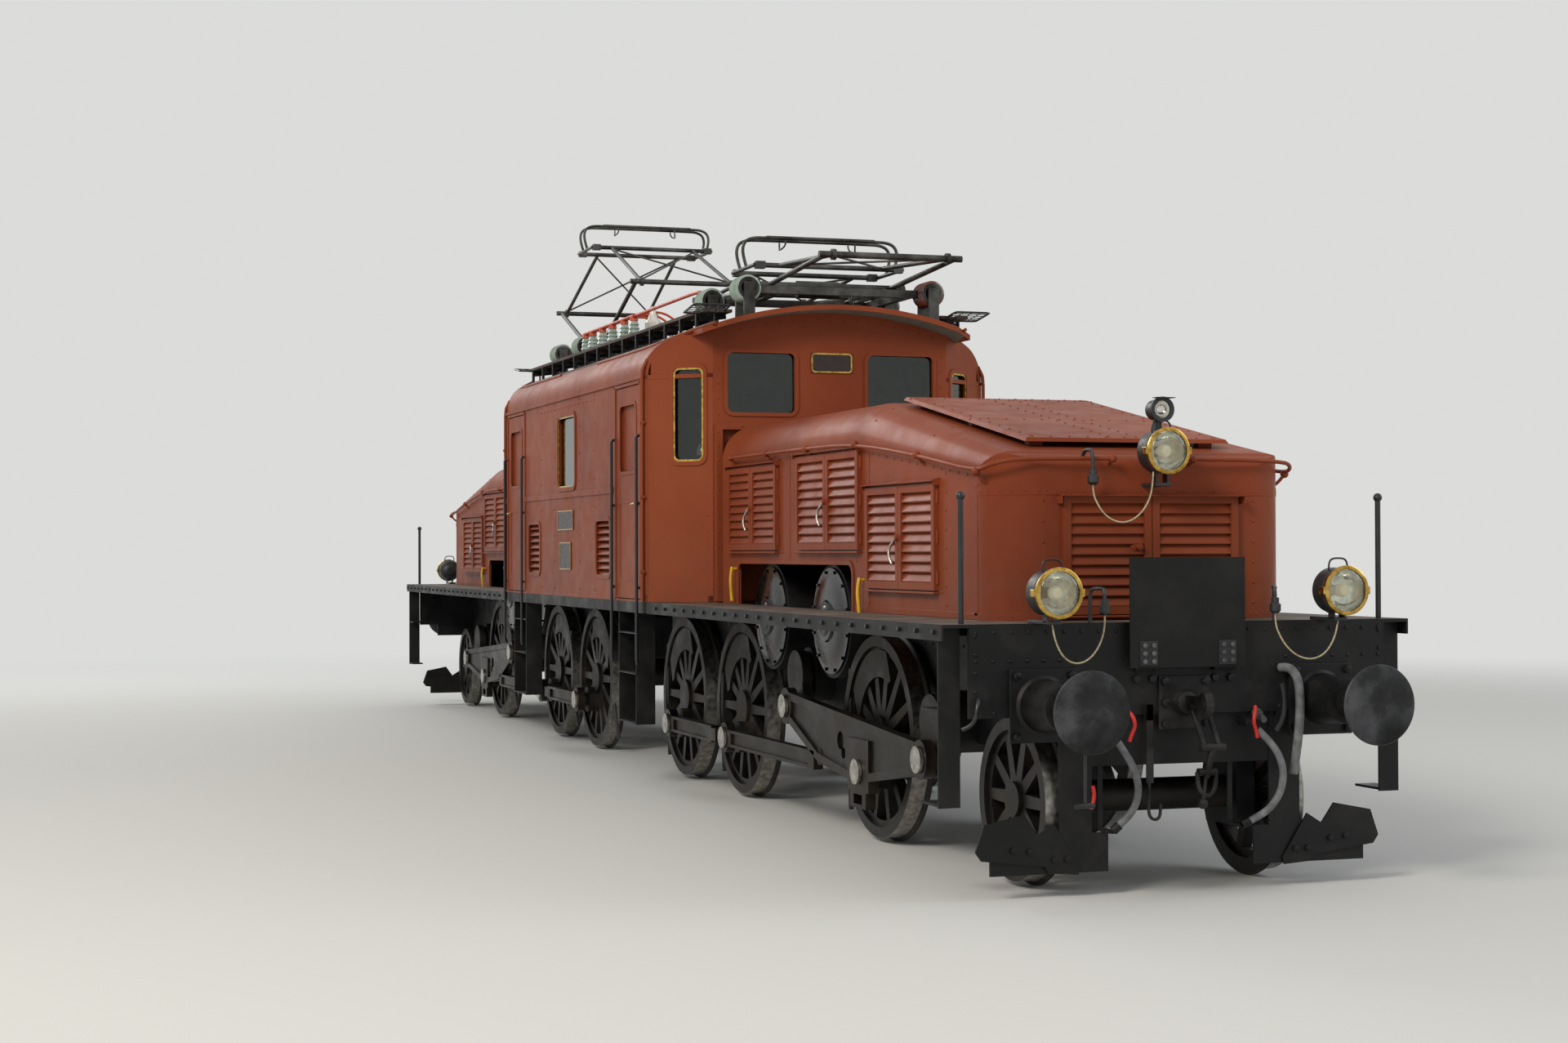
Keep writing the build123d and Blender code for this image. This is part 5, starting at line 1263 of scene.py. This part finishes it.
# %% Rims and handles of the doors
for end in ("front", "rear"):
    for hand in ("left", "right"):
        door = f"{end}_{hand}_door"
        low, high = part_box(door)
        sign, side = (1 if low.x > 0 else -1), (1 if low.y > 0 else -1)
        out = (0, side, 0)
        rims = [flat_frame((sign * 2.228, side * cab_side, 2.845), out, 0.51, 0.54, 0.05, 0.03, 0.006),
                flat_frame((sign * 2.228, side * cab_side, 2.0), out, 0.5, 0.62, 0.03, 0.02, 0.004)]
        dress(rims, f"{door}_rims", "body_paint", body=door)
        grip = [turned_piece([(0, 0.024), (0.006, 0.024), (0.01, 0.012), (0.035, 0.01), (0.04, 0)],
                             (sign * 2.55, side * 1.473, 2.3), out, 16),
                pipe(mirrored(sign, side, [(2.55, 1.505, 2.3), (2.5, 1.512, 2.302), (2.44, 1.508, 2.296)]),
                     0.016)]
        dress(grip, f"{door}_handle", "body_paint", brass, door)

# %% [markdown]
# Orange bars on six porcelain posts lead the current along one edge of the roof, past a white bushing.
# The brass whistle stands beside them. Posts, bushing and whistle are round, so each is one spun profile.

# %% Roof conductors and whistle
conductor_y, conductor_z = -0.8, 4.1
feet, posts, caps = [], [], []
sheds = [(0, 0.062), (0.008, 0.08), (0.02, 0.078)]
for k in range(4):
    sheds += [(0.045 + 0.038 * k, 0.05 - 0.004 * k), (0.055 + 0.038 * k, 0.062 - 0.005 * k)]
for x in (-2.03, -1.75, -1.35, -0.95, -0.5, -0.14):
    place = (x, conductor_y, 3.85)
    feet.append(turned_piece(drum(-0.15, 0, 0.06), place))
    posts.append(turned_piece(sheds + [(0.205, 0.03), (0.205, 0)], place, steps=28))
    caps.append(turned_piece([(0.205, 0.038), (0.24, 0.036), (0.252, 0.02), (0.262, 0.02), (0.262, 0)],
                             place))
feet.append(bevelled_block((-0.27, -0.64, 3.7), (-0.15, -0.56, 3.93), 0.004))
bars = [pipe([(-2.09, y, conductor_z), (-0.08, y, conductor_z)], 0.026, 2) for y in (-0.816, -0.784)]
bars.append(pipe([(x, conductor_y, conductor_z) for x in (-0.1, 1.2, 1.95)]
                 + [(2.06, -0.79, 4.09), (2.125, -0.71, 4.05)], 0.03))
bars.append(pipe([(-2.03, conductor_y, conductor_z), (-2.09, -0.79, 4.09), (-2.125, -0.71, 4.05)], 0.026))
bars += [pipe([(x, conductor_y, conductor_z), (x + 0.05, -0.62, 4.17), (x + 0.08, -0.4, 4.12),
               (x + 0.1, -0.3, 3.98)], 0.022) for x in (-0.8, -0.55, -0.3)]
bushing = [turned_piece([(-0.08, 0), (-0.08, 0.05), (-0.05, 0.075), (0.05, 0.075), (0.08, 0.05),
                         (0.14, 0.03), (0.2, 0.03), (0.2, 0)], (-0.21, -0.6, 4.0), steps=28)]
whistle = [turned_piece([(-0.12, 0), (-0.12, 0.022), (0, 0.022), (0.01, 0.046), (0.04, 0.05), (0.052, 0.044),
                         (0.06, 0.02), (0.072, 0.02), (0.084, 0.046), (0.15, 0.05), (0.188, 0.048),
                         (0.205, 0.036), (0.222, 0.012), (0.232, 0.012), (0.232, 0)], (1.5, -0.62, 3.86),
                        steps=28)]
for parts, name, slot, finish in ((feet, "conductor_feet", "black_frame", black_paint),
                                  (posts, "conductor_porcelain", "bus_bar_paint", green_porcelain),
                                  (caps + bars, "conductor_bars", "bus_bar_paint", bar_paint),
                                  (bushing, "white_bushing", "bus_bar_paint", white_porcelain),
                                  (whistle, "whistle", "body_paint", brass)):
    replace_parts(dress(parts, name, slot, finish), "roof_conductors")

# %% [markdown]
# Each pantograph frame stands on ribbed porcelain drums, green on one side and brown on the other, and
# strong coil springs raise its arms. A spring is a pipe whose line winds round an axis.

# %% Insulators and springs below the pantographs
pantograph_x = 2.75
rib = [(-0.1, 0), (-0.1, 0.06)]
for k in range(8):
    rib += [(-0.092 + 0.0245 * k, 0.086), (-0.085 + 0.0245 * k, 0.106), (-0.078 + 0.0245 * k, 0.086)]
rib += [(0.1, 0.06), (0.1, 0)]
for side, name, glaze in ((-1, "green_rib_insulators", green_porcelain),
                          (1, "brown_rib_insulators", red_porcelain)):
    ribs = [turned_piece(rib, (x, side * 0.78, 3.99), ahead, 28) for x in (-3.25, -2.25, 2.25, 3.25)]
    dress(ribs, name, "bus_bar_paint", glaze)
springs = []
for x in (-pantograph_x, pantograph_x):
    for y in (-0.42, 0.42):
        coil = [(x - 0.3 + 0.006 * k, y + 0.045 * cos(radians(45 * k)), 4.02 + 0.045 * sin(radians(45 * k)))
                for k in range(101)]
        springs += [pipe(coil, 0.012, 3, 1), pipe([(x - 0.46, y, 4.02), (x + 0.46, y, 4.02)], 0.03, 2)]
    springs.append(pipe([(x, -0.62, 4.06), (x, 0.62, 4.06)], 0.05, 2))
    springs.append(turned_piece(drum(-0.18, 0.18, 0.07), (x, 0, 4.06), leftwards))
dress(springs, "pantograph_springs", "pantograph_steel")

# %% [markdown]
# The roof walks are pairs of pine boards that lie close to the roof on short sloped brackets.

# %% Roof walks
boards = [bevelled_block((-3.25, side * y, 3.8), (3.25, side * (y + 0.11), 3.826), 0.003)
          for side in (-1, 1) for y in (0.885, 1.02)]
brackets = []
for side in (-1, 1):
    for x in [-3.06 + 0.47 * k for k in range(14)]:
        brackets.append(tilted_block((x, side, 3.775), ahead, (0, side * 0.12, 1), (0.03, 0.24, 0.045)))
        brackets.append(bevelled_block((x - 0.015, side * 1.12 - 0.012, 3.68),
                                       (x + 0.015, side * 1.12 + 0.012, 3.8), 0.002))
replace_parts(dress(boards, "roof_walk_boards", "walkway_wood"), "roof_walkways")
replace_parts(dress(brackets, "roof_walk_brackets", "black_frame"), "roof_walkways")

# %% [markdown]
# Each pantograph carries a double bow: two bent tubes with rounded horns, and a flat contact strip on each.
# Half of a tube is drawn, and the other half is its mirror image in the opposite order.

# %% Collector bows
knuckle, horn, strip_x = 0.55, 0.635, 0.085
for end in ("front", "rear"):
    node = f"{end}_pantograph_bow"
    low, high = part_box(node)
    x_0, z_0 = (low.x + high.x) / 2, low.z + 0.03 - rail_head
    bow = []
    for side in (-1, 1):
        bow.append(pipe([(x_0 - 0.3, side * horn, z_0), (x_0 + 0.3, side * horn, z_0)], 0.032, 2))
        bow += [bevelled_block((x - 0.03, side * knuckle, z_0 - 0.03),
                               (x + 0.03, side * knuckle * 1.15, z_0 + 0.03), 0.004)
                for x in (x_0 - 0.3, x_0 + 0.3)]
        bow.append(pipe([(x_0 + x, side * y, z_0 + z) for x, y, z in (
            (-strip_x, 0.3, 0.235), (-strip_x, 0.3, 0.19), (0, 0.33, 0.16), (strip_x, 0.3, 0.19),
            (strip_x, 0.3, 0.235))], 0.014))
    for x in (x_0 - strip_x, x_0 + strip_x):
        half = [(x, horn, z_0), (x, 0.67, z_0 + 0.1), (x, 0.665, z_0 + 0.2), (x, 0.6, z_0 + 0.245),
                (x, 0.48, z_0 + 0.25)]
        bow.append(pipe(half + mirrored(1, -1, reversed(half)), 0.026))
        bow.append(bevelled_block((x - 0.02, -0.47, z_0 + 0.246), (x + 0.02, 0.47, z_0 + 0.266), 0.004))
    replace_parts(dress(bow, f"{end}_double_bow", "pantograph_steel", body=node), node)

# %% [markdown]
# A tray of welded wire hangs at each corner of the roof: a rim, five wires along, six across, and a stay.

# %% Wire trays at the roof's corners
trays = []
for sign, side in quarters:
    rim = [(3.12, 0.95, 3.8), (3.42, 0.95, 3.84), (3.42, 1.25, 3.84), (3.12, 1.25, 3.8), (3.12, 0.95, 3.8)]
    wires = [[(3.12, y, 3.8), (3.42, y, 3.84)] for y in (0.95, 1.025, 1.1, 1.175, 1.25)]
    wires += [[(3.12 + 0.06 * k, 0.95, 3.8 + 0.008 * k), (3.12 + 0.06 * k, 1.25, 3.8 + 0.008 * k)]
              for k in range(6)]
    trays += [pipe(mirrored(sign, side, wire), 0.008, 2, 1) for wire in wires]
    trays += [pipe(mirrored(sign, side, bar), 0.018, 2, 1)
              for bar in (rim, [(3.2, 1.02, 3.68), (3.2, 1.02, 3.81)])]
dress(trays, "roof_corner_trays", "black_frame", black_paint)

# %% [markdown]
# Below the headstock: plates cut to an outline with a notch, the long hose with its cock and pipe, a hand
# rod below the far buffer, hinge plates on the fall plate, and sand pipes ahead of the wheels.

# %% Guards, pipes and hinge plates
guards, fittings, sand = [], [], []
outline = ((0.64, 0.143), (0.65, 0.101), (0.834, 0.114), (0.855, 0.153), (1.238, 0.199), (1.273, 0.248),
           (1.221, 0.397), (0.978, 0.444), (0.896, 0.331), (0.801, 0.39))
for side in (-1, 1):
    guards.append(plate([(side * y, z) for y, z in outline], 9.026, 9.038))
    guards += [turned_piece([(0, 0.018), (0.014, 0.018), (0.017, 0.012), (0.017, 0)], (9.038, side * y, z),
                            ahead, 6) for y, z in ((0.72, 0.19), (0.8, 0.19), (0.95, 0.24), (1.05, 0.25))]
    fittings.append(turned_piece([(0, 0.03), (0.03, 0.03), (0.03, 0.02), (0.1, 0.018), (0.1, 0)],
                                 (9.06, side * 0.46, 0.98), (1, 0, -0.4), 16))
    sand += [pipe(mirrored(1, side, [(x + 0.12, 0.8, 1.1), (x + 0.1, 0.8, 0.7), (x + 0.04, 0.78, 0.35),
                                     (x, 0.76, 0.12)]), 0.036) for x in (5.62, 2.58, 0.92)]
pipes = [pipe(route, thick) for thick, route in (
    (0.034, [(9.15, 0.573, 1.149), (9.15, 0.592, 1.087), (9.15, 0.589, 0.948), (9.12, 0.553, 0.88)]),
    (0.018, [(9.6, -0.875, 0.86), (9.6, -0.875, 0.7), (9.59, -0.872, 0.55)]),
    (0.03, [(9.59, -0.93, 0.545), (9.59, -0.875, 0.555), (9.59, -0.82, 0.545)]),
    (0.026, [(9.06, -1.26, 1.1), (9.1, -1.28, 1.08), (9.1, -1.3, 0.95), (9.06, -1.36, 0.93)]))]
long_route = [(9.06, 0.62, 1.235), (9.13, 0.634, 1.24), (9.16, 0.66, 1.2), (9.165, 0.678, 1.147),
              (9.165, 0.686, 1.008), (9.16, 0.676, 0.853), (9.14, 0.665, 0.7), (9.13, 0.66, 0.63)]
hinge_plates = []
for y in (-flap_hinge, flap_hinge):
    face = row("front_flap_plate", (9.9, y, 1.3), (9.9, y, 1.3), 0, -ahead)[0][0].x
    hinge_plates.append(bevelled_block((face - 0.002, y - 0.055, 1.262), (face + 0.004, y + 0.055, 1.4),
                                       0.002))
dress_both_ends(guards, "guard_plates", "black_frame")
dress_both_ends(pipes, "front_pipes", "black_frame", black_paint)
dress_both_ends([pipe(long_route, 0.052)], "long_hose", "hose_rubber")
dress_both_ends(hinge_plates, "flap_hinge_plates", "black_frame", black_paint, "flap")
dress_both_ends(fittings, "headstock_fittings", "black_frame", grey_casting)
dress_both_ends(sand, "sand_pipes", "black_frame", black_paint)

# %% [markdown]
# Through the windows one sees the driving desk: a controller with its brass disc, a domed instrument and
# the cabinet of the switchgear behind.

# %% Cab inside
desks, discs, domes = [], [], []
for sign, side in quarters:
    place = (sign * 2.74, side * 0.98, 1.56)
    desks.append(turned_piece([(0, 0), (0, 0.13), (0.95, 0.13), (1.0, 0.17), (1.06, 0.17), (1.06, 0)],
                              place))
    discs.append(turned_piece([(1.062, 0), (1.062, 0.16), (1.085, 0.16), (1.09, 0.05), (1.13, 0.04),
                               (1.13, 0)], place))
    domes.append(turned_piece([(1.13, 0.06), (1.18, 0.055), (1.22, 0.035), (1.235, 0)], place))
desks += [bevelled_block((sign * 1.8, -0.4, 2.0), (sign * 2.08, 0.1, 3.25), 0.01) for sign in (-1, 1)]
dress(desks, "driving_desks", "cab_inside", grey_casting)
dress(discs, "controller_discs", "cab_inside", dull_brass)
dress(domes, "instrument_domes", "cab_inside", white_porcelain)

# %% [markdown]
# The studio is a pale floor that fades into a pale surround, with one large soft light on the side that
# the photograph shows lit, a weaker one on the other side, and an even sky.

# %% Studio
pale = "#E4E5E3"
light_level, seen_level = 0.6, 0.92
floor_radius, fade_start, fade_end = 150.0, 10.5, 25.0


def studio_floor():
    bpy.ops.mesh.primitive_circle_add(vertices=128, radius=floor_radius, fill_type="NGON")
    floor = bpy.context.object
    floor.name = "studio_floor"
    material, tree, shader, place = new_material("pale_studio_floor")
    shader.inputs["Base Color"].default_value = linear("#D6D6D3")
    shader.inputs["Roughness"].default_value = 0.9
    away = add_node(tree, "ShaderNodeVectorMath", {"operation": "LENGTH"}, {0: place}).outputs["Value"]
    settings = {"interpolation_type": "SMOOTHSTEP", "From Min": fade_start, "From Max": fade_end}
    fade = add_node(tree, "ShaderNodeMapRange", settings, {"Value": away})
    glow = add_node(tree, "ShaderNodeEmission", {"Color": linear(pale), "Strength": seen_level})
    both = add_node(tree, "ShaderNodeMixShader", links={0: fade.outputs["Result"], 1: shader.outputs["BSDF"],
                                                        2: glow.outputs["Emission"]})
    tree.links.new(both.outputs["Shader"], tree.nodes["Material Output"].inputs["Surface"])
    floor.data.materials.append(material)


def soft_light(name, place, target, size, watts, tint="#FFFFFF"):
    bpy.ops.object.light_add(type="AREA", location=place)
    lamp = bpy.context.object
    lamp.name = name
    lamp.data.size = size
    lamp.data.energy = watts
    lamp.data.color = linear(tint)[:3]
    lamp.rotation_euler = (Vector(target) - Vector(place)).to_track_quat("-Z", "Y").to_euler()


def studio_sky():
    world = bpy.data.worlds.new("studio_sky")
    bpy.context.scene.world = world
    world.use_nodes = True
    tree = world.node_tree
    rays = add_node(tree, "ShaderNodeLightPath").outputs
    seen = rays["Is Camera Ray"]
    for kind in ("Is Glossy Ray", "Is Transmission Ray"):
        larger = add_node(tree, "ShaderNodeMath", {"operation": "MAXIMUM"}, {0: seen, 1: rays[kind]})
        seen = larger.outputs[0]
    level = spread(tree, seen, light_level, seen_level, 0.0, 1.0)
    sky = tree.nodes["Background"]
    sky.inputs["Color"].default_value = linear(pale)
    tree.links.new(level, sky.inputs["Strength"])


studio_floor()
studio_sky()
soft_light("key_light", (19, -17, 15), (3, 0, 2.2), 7, 3300, "#FFF6EA")
soft_light("fill_light", (14, 18, 12), (4, 0, 2), 12, 1100, "#EEF4FF")
soft_light("rear_light", (-20, -8, 14), (-4, 0, 2.5), 10, 1500)
bpy.context.scene.view_settings.view_transform = "Standard"
